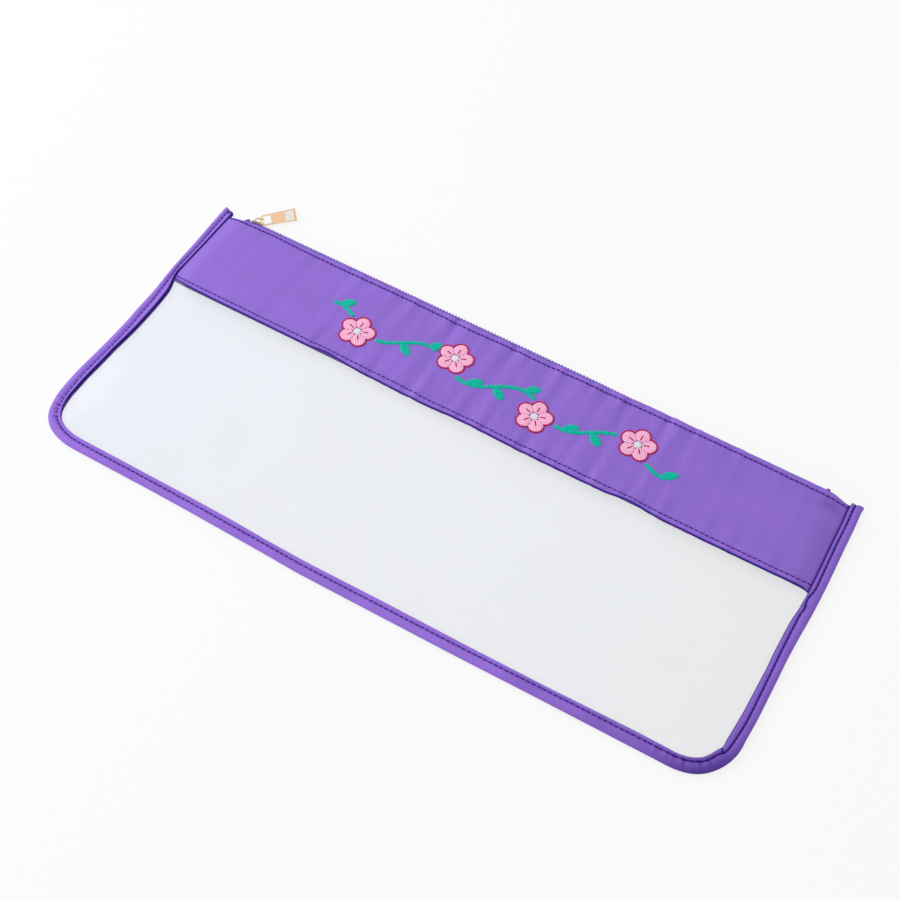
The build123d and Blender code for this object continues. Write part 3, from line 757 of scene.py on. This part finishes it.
def bindingTop(s, d, width, stitch):
    # height of the top ply past the band's crest: down to the groove, up over the inner ridge and
    # down again where the tape is turned under
    crestD = binding["crestShare"] * stitch
    fall = ease((d - crestD) / (stitch - crestD))
    t = np.clip((d - stitch) / (width - stitch), 0, 1)
    z = binding["crest"] + (binding["groove"] - binding["crest"]) * fall
    z = z + (binding["ridge"] - binding["groove"]) * np.sin(math.pi * 0.78 * t)
    z = z - 0.5 * ease((d - width + 0.5) / 0.5) ** 2
    # the left end gapes open: its inner half sinks
    z = z - 0.55 * bump(s, 3.5) * ease((d - 3.2) / 1.5)
    return z + bindingPuckers(s, d, stitch)


def cutEnds(s, d):
    # how far the two cut ends fall short of the plan, more towards the inner ridge
    return -bump(s, 5.0) * (0.45 + 0.24 * d) - bump(seamLength() - s, 6.0) * (2.6 + 0.11 * d)


def makeBinding():
    # a profile in distance inwards and height, from the lower inner edge out along the
    # underside, a quarter circle and a quarter oval round the fold and back over the top,
    # carried along the seam path
    runs = [np.linspace(a, b, n, endpoint=b > 800) for a, b, n in binding["runs"]]
    s = np.concatenate(runs)[:, None]
    width, stitch = seamAt(s, "width"), seamAt(s, "stitch")
    out = seamAt(s, "out") + 0.3 * bump(seamLength() - s, 3.0)
    r, middle = binding["foldRadius"], binding["middle"]
    under = r + (width - r) * np.array([1.0, 0.97, 0.9, 0.78, 0.66, 0.54, 0.42, 0.3, 0.15])
    underZ = 0.32 * bump(under - stitch, 0.8) + 0.25 * ease((under - width + 0.6) / 0.6)
    low = np.linspace(-math.pi / 2, 0, 6)[:-1]
    lowD, lowZ = r - r * np.cos(low) + 0 * s, middle + middle * np.sin(low) + 0 * s
    high = np.linspace(0, math.pi / 2, 13)[:-1]
    crestD = binding["crestShare"] * stitch
    highD = crestD - crestD * np.cos(high)
    highZ = middle + (binding["crest"] - middle) * np.sin(high)
    highZ = highZ + bindingPuckers(s, highD, stitch) * np.sin(high) ** 2
    over = crestD + (width - crestD) * np.linspace(0, 1, 23)
    d = np.concatenate([under, lowD, highD, over], 1)
    z = np.concatenate([underZ, lowZ, highZ, bindingTop(s, over, width, stitch)], 1)
    # the inner ply follows the outer one at the cloth's thickness
    stepD, stepZ = np.gradient(d, axis=1), np.gradient(z, axis=1)
    size = np.hypot(stepD, stepZ)
    innerD = np.maximum(d + binding["ply"] * stepZ / size, binding["ply"])
    innerZ = np.clip(z - binding["ply"] * stepD / size, 0.62, None)
    point, inward = seamPath(s[:, 0])

    def placed(dist, height):
        plan = point[:, None, :] + inward[:, None, :] * (dist - out)[..., None]
        plan[..., 1] += cutEnds(s, dist)
        return np.concatenate([plan, height[..., None]], -1)

    points, quads = shellOf(placed(d, z), placed(innerD, innerZ))
    uv = np.stack([s + 0 * d, np.cumsum(size, axis=1)], -1).reshape(-1, 2)
    # painted shade: the cut inner edge, the stitched groove, the gaping end and the hollow of the fold are
    # darkened, the puckers and the lap's crease are lit and shaded by their height, and the outer band darkens
    # where it turns from the light
    wallWidth = smoothTable(s, *binding["wallWidth"], 3.0)
    wall = smoothTable(s, *binding["wall"], 4.0) * ease((d - width + 0.5 + wallWidth) / 0.45)
    groove = smoothTable(s, *binding["grooveShade"], 4.0) * bump(d - stitch, 0.55)
    gape = 0.9 * bump(s, 3.2) * ease((d - 3.0) / 1.2)
    band = smoothTable(s, *binding["bandShade"], 5.0) * (1 - 0.4 * np.clip(d / stitch, 0, 1.5))
    folds = 0.02 - (0.6 + 0.3 * bump(s - 180, 22)) * bindingPuckers(s, d, stitch)
    lap = 0.6 * overlapCrease(s, d, stitch)
    shade = np.clip((wall + groove + gape + folds + lap) * (z > 1.0) + band, 0, 1)
    shade = np.concatenate([shade.ravel(), np.full(d.size, 0.9)])
    return makePiece("edge_binding_cloth", points, quads, bindingCloth, uv=np.tile(uv, (2, 1)), paintedShade=shade)


standFor(makeBinding(), "edge_binding", "binding_nylon",
         flat=(0.021, 0.805), held="folded", rests_on=["front_window", "back_window"])
print("binding made")


# The seams' stitches, whose measures stand in the stitching dictionary above.

def stitchMesh(middle, along, up, thickness):
    # each stitch is a short round thread whose ends dive into the cloth: height falls with the
    # fourth power of the distance from its middle, the radius with the sixth
    t = np.linspace(-1, 1, stitching["rings"])
    turn = np.arange(stitching["sides"]) * 2 * math.pi / stitching["sides"]
    radius = thickness / 2 * (1 - 0.45 * t ** 6)
    lengthways = stitching["length"] / 2 * t[:, None] + 0 * turn
    sideways = radius[:, None] * np.cos(turn)
    height = radius[:, None] * np.sin(turn) + stitching["rise"] - 0.42 * (t ** 4)[:, None]
    side = np.cross(up, along)
    local = (lengthways[None, ..., None] * along[:, None, None, :]
             + sideways[None, ..., None] * side[:, None, None, :]
             + height[None, ..., None] * up[:, None, None, :])
    points = middle[:, None, None, :] + local
    one = gridQuads(stitching["rings"], stitching["sides"], wrapColumns=True)
    last = (stitching["rings"] - 1) * stitching["sides"]
    caps = np.array([[0, 1, 2, 3], [0, 3, 4, 5],
                     [last, last + 3, last + 2, last + 1], [last, last + 5, last + 4, last + 3]])
    one = np.concatenate([one, caps])
    step = stitching["rings"] * stitching["sides"]
    quads = (one[None] + (np.arange(len(middle)) * step)[:, None, None]).reshape(-1, 4)
    uv = np.stack([lengthways + 0.4 * np.sin(turn), sideways], -1)
    uv = np.tile(uv.reshape(1, -1, 2), (len(middle), 1, 1)).reshape(-1, 2)
    return points.reshape(-1, 3), quads, uv


def sewRow(row, middle, along, up, thickness):
    # one row of stitches in its CAD strip's place
    points, quads, uv = stitchMesh(middle, along, up, thickness)
    piece = makePiece(row + "_stitches", points, quads, seamThread, uv=uv)
    standFor(piece, row + "_stitching", "seam_thread")


def stitchedLine(row, line, height, facing):
    # stitches at even steps along the zipper, on a line of the cloth and at its height
    x = np.arange(stitching["start"], -stitching["start"], stitching["pitch"])
    y = line(x) + 0.07 * ripple(x, 0 * x, 9.0)
    slope = height(x + 0.5, y) - height(x - 0.5, y)
    along = np.stack([np.ones_like(x), line(x + 0.5) - line(x - 0.5) + 0.03 * np.sin(x), slope], -1)
    along /= np.linalg.norm(along, axis=1, keepdims=True)
    up = np.stack([-slope, 0 * x, np.ones_like(x)], -1) * facing
    up /= np.linalg.norm(up, axis=1, keepdims=True)
    thickness = stitching["panelThread" if facing > 0 else "backThread"]
    sewRow(row, np.stack([x, y, height(x, y)], -1), along, up, thickness)


def stitchedBinding(row, facing):
    # the same stitches round the seam, in the binding's groove
    s = np.arange(3.0, seamLength() - 1.0, stitching["pitch"])
    width, stitch = seamAt(s, "width"), seamAt(s, "stitch")
    point, inward = seamPath(s)
    inset = stitch - seamAt(s, "out") + 0.08 * ripple(s, 0 * s, 11.0)
    plan = point + inward * inset[:, None]
    plan[:, 1] += cutEnds(s, stitch)
    z = bindingTop(s, stitch, width, stitch) if facing > 0 else np.full(len(s), binding["backGroove"])
    along = np.stack([inward[:, 1], -inward[:, 0], 0 * s], -1)
    up = np.tile([0.0, 0.0, float(facing)], (len(s), 1))
    thickness = stitching["bindingThread" if facing > 0 else "backThread"]
    sewRow(row, np.column_stack([plan, z]), along, up, thickness)


def backFace(x, y):
    # depth of the stitched grooves on the back cloth's underside
    return header["backGroove"] + pouch["backFlange"] * (1 - riseOf(x, y))


stitchedLine("front_top", lambda x: headerLine(x, "topSeam", 91.0), headerTop, 1)
stitchedLine("front_hem", lambda x: headerLine(x, "hemSeam", 33.0), headerTop, 1)
stitchedLine("back_top", lambda x: header["backTop"] - header["backTopSeam"] + 0 * x, backFace, -1)
stitchedLine("back_hem", lambda x: header["backHem"] + header["backHemSeam"] + 0 * x, backFace, -1)
stitchedBinding("binding_front", 1)
stitchedBinding("binding_back", -1)
print("stitches made")


# The zipper: two folded tapes, a coil on each, stops, slider and pull.

zipper = {
    "middleZ": 3.25,
    "left": -204.5,
    "right": 205.0,
    "leftTuck": 8.0,         # how far from its ends the tape is tucked down with the cloth
    "rightTuck": 3.0,
    "thickness": 0.45,
    # the tape's outer face across: its places along Y and how far each lies from the middle
    "tape": ([80.2, 84.0, 88.0, 91.0, 92.6, 93.3, 93.8, 94.3, 94.7, 95.1, 95.4, 95.5, 95.55, 95.55],
             [2.3, 2.3, 2.33, 2.38, 2.42, 2.5, 2.55, 2.56, 2.5, 2.35, 2.1, 1.8, 1.4, 1.0]),
    "coilPitch": 2.1,
    "coilY": 96.35,
    "coilDepth": 0.95,
    "coilReach": 1.6,
    "coilOffset": 0.55,
    "wireRadius": 0.4,
    "turnSteps": 12,
    "wireSides": 5,
    "cord": (-0.25, 1.2, 0.3, 0.62),   # the filler in each coil: its place across, half its size
    "spans": [(-195.8, 196.3), (-202.2, -200.1)],   # closed from inside the slider on, and the short tail
    # the stops moulded over the coils' ends: the CAD part, its middle and half its size
    "stops": [("front_top_stop", (-198.85, 95.6, 4.9), (1.05, 0.75, 0.8)),
              ("back_top_stop", (-198.85, 95.6, 1.6), (1.05, 0.75, 0.8)),
              ("bottom_stop", (197.9, 96.3, 3.25), (1.3, 0.95, 2.2))],
}


def tapeTuck(x):
    # 1 at the tape's two ends, 0 past the tucked lengths
    left = ease(1 - (x - zipper["left"]) / zipper["leftTuck"])
    return left + ease(1 - (zipper["right"] - x) / zipper["rightTuck"])


def tapeCover(x):
    # 0 where the coil shows past the header's fold, 1 where the fold hides it
    return ease((x - 45) / 45)


def coilHeight(x):
    # the coils' middle, lower where the fold covers it and tucked down at both ends
    return zipper["coilY"] - 0.75 * tapeCover(x) - 3.0 * tapeTuck(x)


def makeTape(side, which):
    # folded strip: sewn flat behind the header, a low bulge past its edge, then turned in
    # to carry the coil
    x = np.linspace(zipper["left"], zipper["right"], 260)[:, None]
    y, away = np.array(zipper["tape"])
    away = away - 0.35 * tapeCover(x) * ease((y - 93.4) / 1.0) * ease((96.2 - y) / 0.5)
    y = y - 0.9 * tapeTuck(x) * np.clip(y - 92.2, 0, None)
    pocket = riseOf(x, 60.0 + 0 * x)
    away = away * (0.25 + 0.75 * pocket) + 0.03 * ripple(x, 0 * x, 2.1)
    middle = zipper["middleZ"] - 1.7 * (1 - pocket)
    outer = np.stack([x + 0 * y, y, middle + side * away], -1)
    stepY, stepA = np.gradient(y, axis=1), np.gradient(away, axis=1)
    size = np.hypot(stepY, stepA) + 1e-6
    innerY = y + zipper["thickness"] * stepA / size
    innerA = np.maximum(away - zipper["thickness"] * stepY / size, 0.2)
    inner = np.stack([x + 0 * y, innerY, middle + side * innerA], -1)
    points, quads = shellOf(outer, inner)
    uv = np.stack([x + 0 * y, np.cumsum(size, 1)], -1).reshape(-1, 2)
    paintedShade = np.zeros(len(points))
    piece = makePiece(which + "_tape_cloth", points, quads, tapeCloth, uv=np.tile(uv, (2, 1)), paintedShade=paintedShade)
    standFor(piece, which + "_zipper_tape", "zipper_tape",
             flat=(0.4095, 0.0175), held="folded", rests_on=[which + "_header_band"])


def coilPart(start, end, side):
    # one wire wound flat: a helix of oval turns about a line along the zipper, as a tube of few
    # sides, with its last ring at each end drawn together
    turns = (end - start) / zipper["coilPitch"]
    count = int(turns * zipper["turnSteps"]) + 1
    t = np.linspace(0, turns * 2 * math.pi, count) + (0 if side > 0 else math.pi)
    r = zipper["wireRadius"]
    wide, deep = zipper["coilReach"] - r, zipper["coilDepth"] - r
    x = np.linspace(start, end, count)
    y = coilHeight(x) + deep * np.cos(t)
    path = np.stack([x, y, zipper["middleZ"] + side * (zipper["coilOffset"] - wide * np.sin(t))], -1)
    way = np.gradient(path, axis=0)
    way /= np.linalg.norm(way, axis=1, keepdims=True)
    first = np.cross(way, [1.0, 0.0, 0.0])
    first /= np.linalg.norm(first, axis=1, keepdims=True)
    turn = np.arange(zipper["wireSides"]) * 2 * math.pi / zipper["wireSides"]
    second = np.cross(way, first)
    ring = np.cos(turn)[:, None] * first[:, None, :] + np.sin(turn)[:, None] * second[:, None, :]
    size = np.full((count, 1, 1), r)
    size[[0, -1]] = 0.02
    points = path[:, None, :] + size * ring
    return points.reshape(-1, 3), gridQuads(count, zipper["wireSides"], wrapColumns=True)


def fillerCord(start, end, side):
    # the cord that the coil is wound round, an oval bar along the zipper, drawn together at its ends
    x = np.linspace(start, end, int((end - start) / 2) + 4)[:, None]
    turn = np.arange(8) * math.pi / 4
    sink, offset, deep, wide = zipper["cord"]
    size = np.ones_like(x)
    size[[0, -1]] = 0.02
    y = coilHeight(x) + sink + size * deep * np.cos(turn)
    z = zipper["middleZ"] + side * offset + size * wide * np.sin(turn)
    return np.stack([x + 0 * y, y, z], -1).reshape(-1, 3), gridQuads(len(x), 8, wrapColumns=True)


def makeCoil(side, which):
    # a coil and its cord along each span, as one piece in the tooth row's place
    parts = [part(low, high, side) for low, high in zipper["spans"] for part in (coilPart, fillerCord)]
    standFor(makePiece(which + "_coil", *joinMeshes(parts), coilNylon), which + "_tooth_row", "zipper_coil")


def flattened(v, power):
    # a sine or cosine raised to a power below 1, its sign kept, so that a round's sides flatten
    return np.sign(v) * np.abs(v) ** power


def pebble(centre, half, power=0.55, rows=13, columns=20):
    # a rounded block: a ball's latitude and longitude with flattened sines and cosines, and a fan
    # of quads over each pole
    high = np.linspace(-1, 1, rows) * math.pi / 2 * 0.999
    high, turn = np.meshgrid(high, np.arange(columns) * 2 * math.pi / columns, indexing="ij")
    level = flattened(np.cos(high), power)
    ball = [level * flattened(np.cos(turn), power), level * flattened(np.sin(turn), power),
            flattened(np.sin(high), power)]
    points = np.stack(ball, -1) * np.array(half) + np.array(centre)
    ring = np.arange(columns)
    caps = [ring[::-1], ring + (rows - 1) * columns]
    fan = [np.stack([c[0] + 0 * c[1:-2:2], c[1:-2:2], c[2:-1:2], c[3::2]], -1) for c in caps]
    return points.reshape(-1, 3), np.concatenate([gridQuads(rows, columns, wrapColumns=True)] + fan)


for make in (makeTape, makeCoil):
    make(1, "front")
    make(-1, "back")
for node, centre, half in zipper["stops"]:
    standFor(makePiece(node + "_moulding", *pebble(centre, half), stopNylon), node, "zipper_stop")

slider = {
    "centre": (-193.0, 3.25),   # along the zipper and above the floor
    "half": (4.5, 2.75),
    "power": 0.7,               # how square its outline is, where 1 gives an oval
    "sides": 48,
    "rimY": (96.35, 97.05),
    "crownY": 98.35,
    "wedgeY": 94.3,
    "hollow": 1.05,             # how far the plate's underside rises over the coils
    "wedge": (2.6, 0.5),        # half its length and height
    "rimAt": 2.55,
    "rim": (3.4, 0.4, 0.3),
}


def sliderMesh():
    # the plate over the coil, domed outwards: a rounded rectangle in even rings, its outer face
    # crowned by 1 - r^2, its rim rolled by a half circle, its underside hollowed for the coils
    turn = np.arange(slider["sides"]) * 2 * math.pi / slider["sides"]
    low, high = slider["rimY"]
    roll = np.linspace(0, math.pi, 9)
    flat = np.linspace(0.02, 0.9, 8)
    reach = np.concatenate([flat, 0.93 + 0.07 * np.sin(roll), flat[::-1]])[:, None]
    height = np.concatenate([high + (slider["crownY"] - high) * (1 - flat ** 2),
                             (low + high) / 2 + (high - low) / 2 * np.cos(roll) + 0.12 * (1 - roll / math.pi),
                             low + slider["hollow"] * ease((0.9 - flat[::-1]) / 0.3)])
    centreX, centreZ = slider["centre"]
    x = centreX + slider["half"][0] * reach * flattened(np.cos(turn), slider["power"])
    z = centreZ + slider["half"][1] * reach * flattened(np.sin(turn), slider["power"])
    plate = np.stack([x, height[:, None] + 0 * x, z], -1).reshape(-1, 3)
    skin = gridQuads(len(reach), slider["sides"], wrapColumns=True)
    # the wedge that parts the coils, and the two flanges that hold them
    middle, depth = (slider["wedgeY"] + low) / 2, (low - slider["wedgeY"]) / 2 + 0.2
    wedge = pebble((centreX, middle, centreZ), (slider["wedge"][0], depth, slider["wedge"][1]))
    rims = [pebble((centreX, low - 0.15, centreZ + k * slider["rimAt"]), slider["rim"]) for k in (-1, 1)]
    return joinMeshes([(plate, skin), wedge] + rims)


pull = {
    "eye": (-193.9, 99.6, 3.25),
    "angle": 46.0,
    "twist": 45.0,
    "patchFrom": 17.2,
    "patchTo": 22.6,
    "patchHalf": 3.0,
}


def pullAxes():
    # the pull's length lies at its angle in the floor plane, and it is twisted about that line
    a, b = math.radians(pull["angle"]), math.radians(pull["twist"])
    along = Vector((math.cos(a), math.sin(a), 0))
    level = Vector((-math.sin(a), math.cos(a), 0))
    upright = Vector((0, 0, 1))
    return along, level * math.cos(b) + upright * math.sin(b), upright * math.cos(b) - level * math.sin(b)


def wear(node, material):
    # a finer material on a CAD part that keeps its mesh
    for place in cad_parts[node].material_slots:
        place.material = material


along, wide, facing = pullAxes()
eye = Vector(pull["eye"]) * mm
spans = [
    (along, along.dot(eye) + pull["patchFrom"] * mm, along.dot(eye) + pull["patchTo"] * mm),
    (wide, wide.dot(eye) - pull["patchHalf"] * mm, wide.dot(eye) + pull["patchHalf"] * mm),
]
pullGold = goldPlate("pale_gold_plate_pull", "#F2CDA6", "#4A3018", facing, {"spans": spans, "hex": "#ECE9E6"})
sliderGold = goldPlate("pale_gold_plate_slider", "#DDBB8C", "#A58A5E", (0.0, 1.0, 0.0))
bailGold = goldPlate("pale_gold_plate_bail", "#FFF2D4", "#CFA86C", (0.0, 0.0, 1.0))
wear("pull_tab", pullGold)
wear("slider_bail", bailGold)
sliderPlate = makePiece("slider_plate", *sliderMesh(), sliderGold, body="slider")
standFor(sliderPlate, "slider_body", "gold_metal")
print("zipper made")


# The embroidery on the front header: a vine with four blossoms.

motif = {
    "y": header["motifY"],
    "height": 0.62,
    "stemWidth": 2.5,
    "waveLength": 64.0,
    "waveHeight": 6.5,
    "halfLength": 116.0,
    "blossoms": [(-91.2, 54.0), (-30.4, 67.0), (30.4, 54.0), (91.2, 67.0)],
    "ring": 6.6,
    "petal": 4.3,
    "eye": 2.4,
    "outline": 0.85,
    "clear": 1.25,
    "leafLength": 11.0,
    "leafHalf": 2.9,
    "leafPitch": 16.0,
    "leafTilt": 35.0,
}


def stemY(x):
    # the stem's sine wave about the motif's middle
    return motif["y"] + motif["waveHeight"] * np.sin(2 * math.pi * x / motif["waveLength"])


def heading(degrees):
    # the direction at an angle in the plan, and the one to its left
    a = math.radians(degrees)
    return np.array([math.cos(a), math.sin(a)]), np.array([-math.sin(a), math.cos(a)])


def rounded(count):
    # places from -1 to 1, crowded to both ends by a sine
    return np.sin(np.linspace(-1, 1, count) * math.pi / 2)


def outsideBlossoms(x, y):
    # distance out from the nearest blossom's petals
    best = np.full(np.shape(x), 1e3)
    for bx, by in motif["blossoms"]:
        best = np.minimum(best, np.hypot(x - bx, y - by) - motif["ring"])
        for k in range(5):
            cx, cy = np.array([bx, by]) + motif["ring"] * heading(90 + 72 * k)[0]
            best = np.minimum(best, np.hypot(x - cx, y - cy) - motif["petal"])
    return best


def onHeader(plan, lift):
    # plan points lifted from the header's face
    x, y = plan[..., 0], plan[..., 1]
    return np.concatenate([plan, (headerTop(x, y) + lift)[..., None]], -1)


def domed(plan, lift, uv):
    # a raised patch: its face at the given lift, its base just under the cloth
    face = onHeader(plan, lift)
    base = onHeader(plan, 0 * lift - 0.12)
    points, quads = shellOf(face, base)
    return points, quads, np.tile(uv.reshape(-1, 2), (2, 1))


def strokeMesh(line, half, height):
    # thread laid across a line: the section is a half ellipse, the ends are rounded off
    way = np.gradient(line, axis=0)
    length = np.hypot(way[:, 0], way[:, 1])
    way /= length[:, None]
    side = np.stack([-way[:, 1], way[:, 0]], -1)
    across = rounded(9)
    run = np.cumsum(length)
    near = np.minimum(run - run[0], run[-1] - run)
    share = np.clip(near / half, 0.02, 1)
    full = np.sqrt(share * (2 - share))
    plan = line[:, None, :] + side[:, None, :] * (across * half)[None, :, None] * full[:, None, None]
    lift = height * np.sqrt(np.clip(1 - across ** 2, 0, 1))[None, :] * full[:, None] + 0.02
    uv = np.stack([run[:, None] + 0 * across, 0 * run[:, None] + across * half], -1)
    return domed(plan, lift, uv)


def runsOf(mask):
    # first and last numbers of each unbroken stretch
    edges = np.flatnonzero(np.diff(np.concatenate([[0], mask.astype(int), [0]])))
    return [(a, b) for a, b in zip(edges[::2], edges[1::2]) if b - a > 6]


def leafMesh(x, turn):
    # a pointed leaf: half width falls as a circle's arc does, with a groove down its middle; one
    # that would reach a blossom is shorter, and a mere stub is left out
    t = np.linspace(0.0, 1.0, 41)
    root = np.array([x, float(stemY(np.array(x)))])
    way, side = heading(turn)
    line = root + t[:, None] * motif["leafLength"] * way
    clear = outsideBlossoms(line[:, 0], line[:, 1]) > motif["clear"]
    length = motif["leafLength"] * (1.0 if clear.all() else t[np.argmin(clear)])
    if length < 0.62 * motif["leafLength"]:
        return []
    line = root + t[:, None] * length * way
    half = motif["leafHalf"] * np.clip(4 * t * (1 - t), 0, 1) ** 0.85 + 0.03
    across = rounded(13)
    offset = across * half[:, None]
    plan = line[:, None, :] + side * offset[..., None]
    dome = np.sqrt(np.clip(1 - across ** 2, 0, 1)) * np.clip(half / 1.2, 0, 1)[:, None]
    lift = motif["height"] * dome * (1 - 0.45 * bump(offset, 0.35)) + 0.02
    return [domed(plan, lift, np.stack([t[:, None] * length - 0.6 * np.abs(offset), offset], -1))]


def makeVine():
    # the stem between the blossoms, then its leaves to either side in turn
    x = np.linspace(-motif["halfLength"], motif["halfLength"], 620)
    line = np.stack([x, stemY(x)], -1)
    keep = outsideBlossoms(x, line[:, 1]) > motif["clear"] + 0.9
    parts = [strokeMesh(line[a:b], motif["stemWidth"] / 2, motif["height"]) for a, b in runsOf(keep)]
    count = int(motif["halfLength"] // motif["leafPitch"])
    for index in range(-count, count + 1):
        turn = motif["leafTilt"] if index % 2 else -motif["leafTilt"]
        parts += leafMesh(index * motif["leafPitch"], turn)
    return parts


def petalMesh(bx, by, angle):
    # one petal: its half width is the lesser of its sector's and its round tip's
    way, side = heading(angle)
    root, tip = motif["eye"] + 0.2, motif["ring"] + motif["petal"]
    r = root + (tip - root) * np.sin(np.linspace(0, 1, 26) * math.pi / 2)
    sector = r * math.tan(math.radians(36)) - 0.1
    lobe = np.sqrt(np.clip(motif["petal"] ** 2 - (r - motif["ring"]) ** 2, 0.0004, None))
    half = np.minimum(sector, lobe)
    across = rounded(15)
    offset = across * half[:, None]
    plan = np.array([bx, by]) + r[:, None, None] * way + offset[..., None] * side
    dome = np.sqrt(np.clip(1 - across ** 2, 0, 1)) ** 0.7 * np.clip(half / 1.6, 0, 1)[:, None] ** 0.6
    lift = motif["height"] * dome * (1 - 0.25 * bump(offset, 0.3)) + 0.02
    return domed(plan, lift, np.stack([offset, r[:, None] + 0 * across], -1))


def petalStreak(bx, by, angle):
    # a short stroke up a petal's middle, laid over it
    line = np.array([bx, by]) + np.linspace(3.2, 7.0, 24)[:, None] * heading(angle)[0]
    points, quads, uv = strokeMesh(line, 0.5, 0.3)
    points[:len(points) // 2, 2] += motif["height"] * 0.75
    return points, quads, uv


def outlineMesh(bx, by):
    # a round cord along the petals' edge, in polar form: the far side of each petal's circle
    turn = np.linspace(0, 2 * math.pi, 301)[:-1]
    local = (turn + math.pi / 5) % (2 * math.pi / 5) - math.pi / 5
    circle = motif["petal"] + 0.15 + motif["outline"] / 2
    reach = motif["ring"] * np.cos(local) + np.sqrt(circle ** 2 - (motif["ring"] * np.sin(local)) ** 2)
    angle = turn + math.pi / 2
    line = np.stack([bx + reach * np.cos(angle), by + reach * np.sin(angle)], -1)
    closed = np.concatenate([line[-1:], line, line[:1]])
    way = closed[2:] - closed[:-2]
    way /= np.linalg.norm(way, axis=1, keepdims=True)
    side = np.stack([-way[:, 1], way[:, 0]], -1)
    ring = np.linspace(0, 2 * math.pi, 9)[:-1]
    half = motif["outline"] / 2
    plan = line[:, None, :] + side[:, None, :] * (half * np.cos(ring))[None, :, None]
    lift = 0.12 + 0.42 * np.sin(ring)[None, :] + 0 * line[:, :1]
    points = onHeader(plan, lift).reshape(-1, 3)
    quads = gridQuads(len(line), len(ring), wrapRows=True, wrapColumns=True)
    run = np.cumsum(np.linalg.norm(np.diff(closed[:-1], axis=0), axis=1))
    uv = np.stack([run[:, None] + 0 * ring, 0 * run[:, None] + half * np.cos(ring)], -1).reshape(-1, 2)
    return points, quads, uv


def eyeMesh(bx, by):
    # a domed button of thread laid in straight rows, on a grid of squared-off circles
    side = np.linspace(-1, 1, 17)
    u, v = np.meshgrid(side, side, indexing="ij")
    px = motif["eye"] * u * np.sqrt(1 - v * v / 2)
    py = motif["eye"] * v * np.sqrt(1 - u * u / 2)
    far = np.hypot(px, py) / motif["eye"]
    plan = np.stack([bx + px, by + py], -1)
    lift = 0.05 + 0.65 * np.sqrt(np.clip(1 - far ** 2, 0, 1)) ** 0.8
    uv = np.stack([px, py], -1)
    return domed(plan, lift, uv)


def embroider(name, node, slot, material, parts):
    # joins a motif's patches as one piece on the header
    points, quads = joinMeshes([(p, q) for p, q, _ in parts])
    uv = np.concatenate([u for _, _, u in parts])
    standFor(makePiece(name, points, quads, material, uv=uv), node, slot)


places = [(x, y, 90 + 72 * k) for x, y in motif["blossoms"] for k in range(5)]
petals = [petalMesh(*place) for place in places]
embroider("vine_embroidery", "embroidered_vine", "embroidery_teal", tealThread, makeVine())
embroider("petal_embroidery", "embroidered_petals", "embroidery_pink", pinkThread, petals)
embroider("petal_edge_embroidery", "embroidered_petal_outlines", "embroidery_crimson", crimsonThread,
          [outlineMesh(x, y) for x, y in motif["blossoms"]] + [petalStreak(*place) for place in places])
embroider("blossom_eye_embroidery", "embroidered_blossom_eyes", "embroidery_white", whiteThread,
          [eyeMesh(x, y) for x, y in motif["blossoms"]])
print("embroidery made")


# Floor, sky and lamps.

studio = {
    "paper": "#FCFCFC",
    "glow": 0.8,         # share of the floor's look that takes no shading, the rest keeps the shadow
    "sky": 0.67,
    "floorHalf": 4,      # metres
    "floorZ": -0.2,      # just under the pouch
    "lamps": [
        {"name": "key", "place": (-1500, 330, 1050), "size": 800, "power": 12.5},
        {"name": "fill", "place": (-700, -600, 700), "size": 900, "power": 2.4},
    ],
}


def seenRays(tree):
    # 1 for rays from the camera, off gloss and through glass, 0 for the light on the object
    path = addNode(tree, "LightPath")
    seen = path.outputs["Is Camera Ray"]
    for other in ("Is Glossy Ray", "Is Transmission Ray"):
        seen = addNode(tree, "Math", {0: seen, 1: path.outputs[other]}, operation="MAXIMUM")
    return seen


def makeFloor():
    # a wide sheet of white paper: partly glowing as seen, so that it stays white to its edges
    material, tree = newMaterial("white_paper_sweep")
    paper = toLinear(studio["paper"])
    matte = addNode(tree, "BsdfDiffuse", {"Color": paper})
    glow = addNode(tree, "Emission", {"Color": paper, "Strength": 1.0})
    share = addNode(tree, "Math", {0: seenRays(tree), 1: studio["glow"]}, operation="MULTIPLY")
    both = addNode(tree, "MixShader", {0: share, 1: matte, 2: glow})
    addNode(tree, "OutputMaterial", {"Surface": both})
    mesh = bpy.data.meshes.new("paper_floor")
    reach, sink = studio["floorHalf"], studio["floorZ"] * mm
    corners = [(x * reach, y * reach, sink) for x, y in ((-1, -1), (1, -1), (1, 1), (-1, 1))]
    mesh.from_pydata(corners, [], [[0, 1, 2, 3]])
    mesh.materials.append(material)
    paperFloor = bpy.data.objects.new("paper_floor", mesh)
    bpy.context.scene.collection.objects.link(paperFloor)


def makeSky():
    # even light from all round, and plain white where it is seen
    world = bpy.data.worlds.new("studio_sky")
    bpy.context.scene.world = world
    world.use_nodes = True
    tree = world.node_tree
    tree.nodes.clear()
    light = addNode(tree, "Background", {"Color": (1, 1, 1, 1), "Strength": studio["sky"]})
    white = addNode(tree, "Background", {"Color": toLinear(studio["paper"]), "Strength": 1.0})
    both = addNode(tree, "MixShader", {0: seenRays(tree), 1: light, 2: white})
    addNode(tree, "OutputWorld", {"Surface": both})


def makeLamps():
    # soft square lamps aimed at the pouch's middle
    for lamp in studio["lamps"]:
        data = bpy.data.lights.new(lamp["name"], "AREA")
        data.size = lamp["size"] * mm
        data.energy = lamp["power"]
        holder = bpy.data.objects.new(lamp["name"], data)
        bpy.context.scene.collection.objects.link(holder)
        place = Vector(lamp["place"]) * mm
        holder.matrix_world = Matrix.Translation(place) @ place.to_track_quat("Z", "Y").to_matrix().to_4x4()


makeFloor()
makeSky()
makeLamps()
bpy.context.scene.view_settings.view_transform = "Standard"
print("studio made")
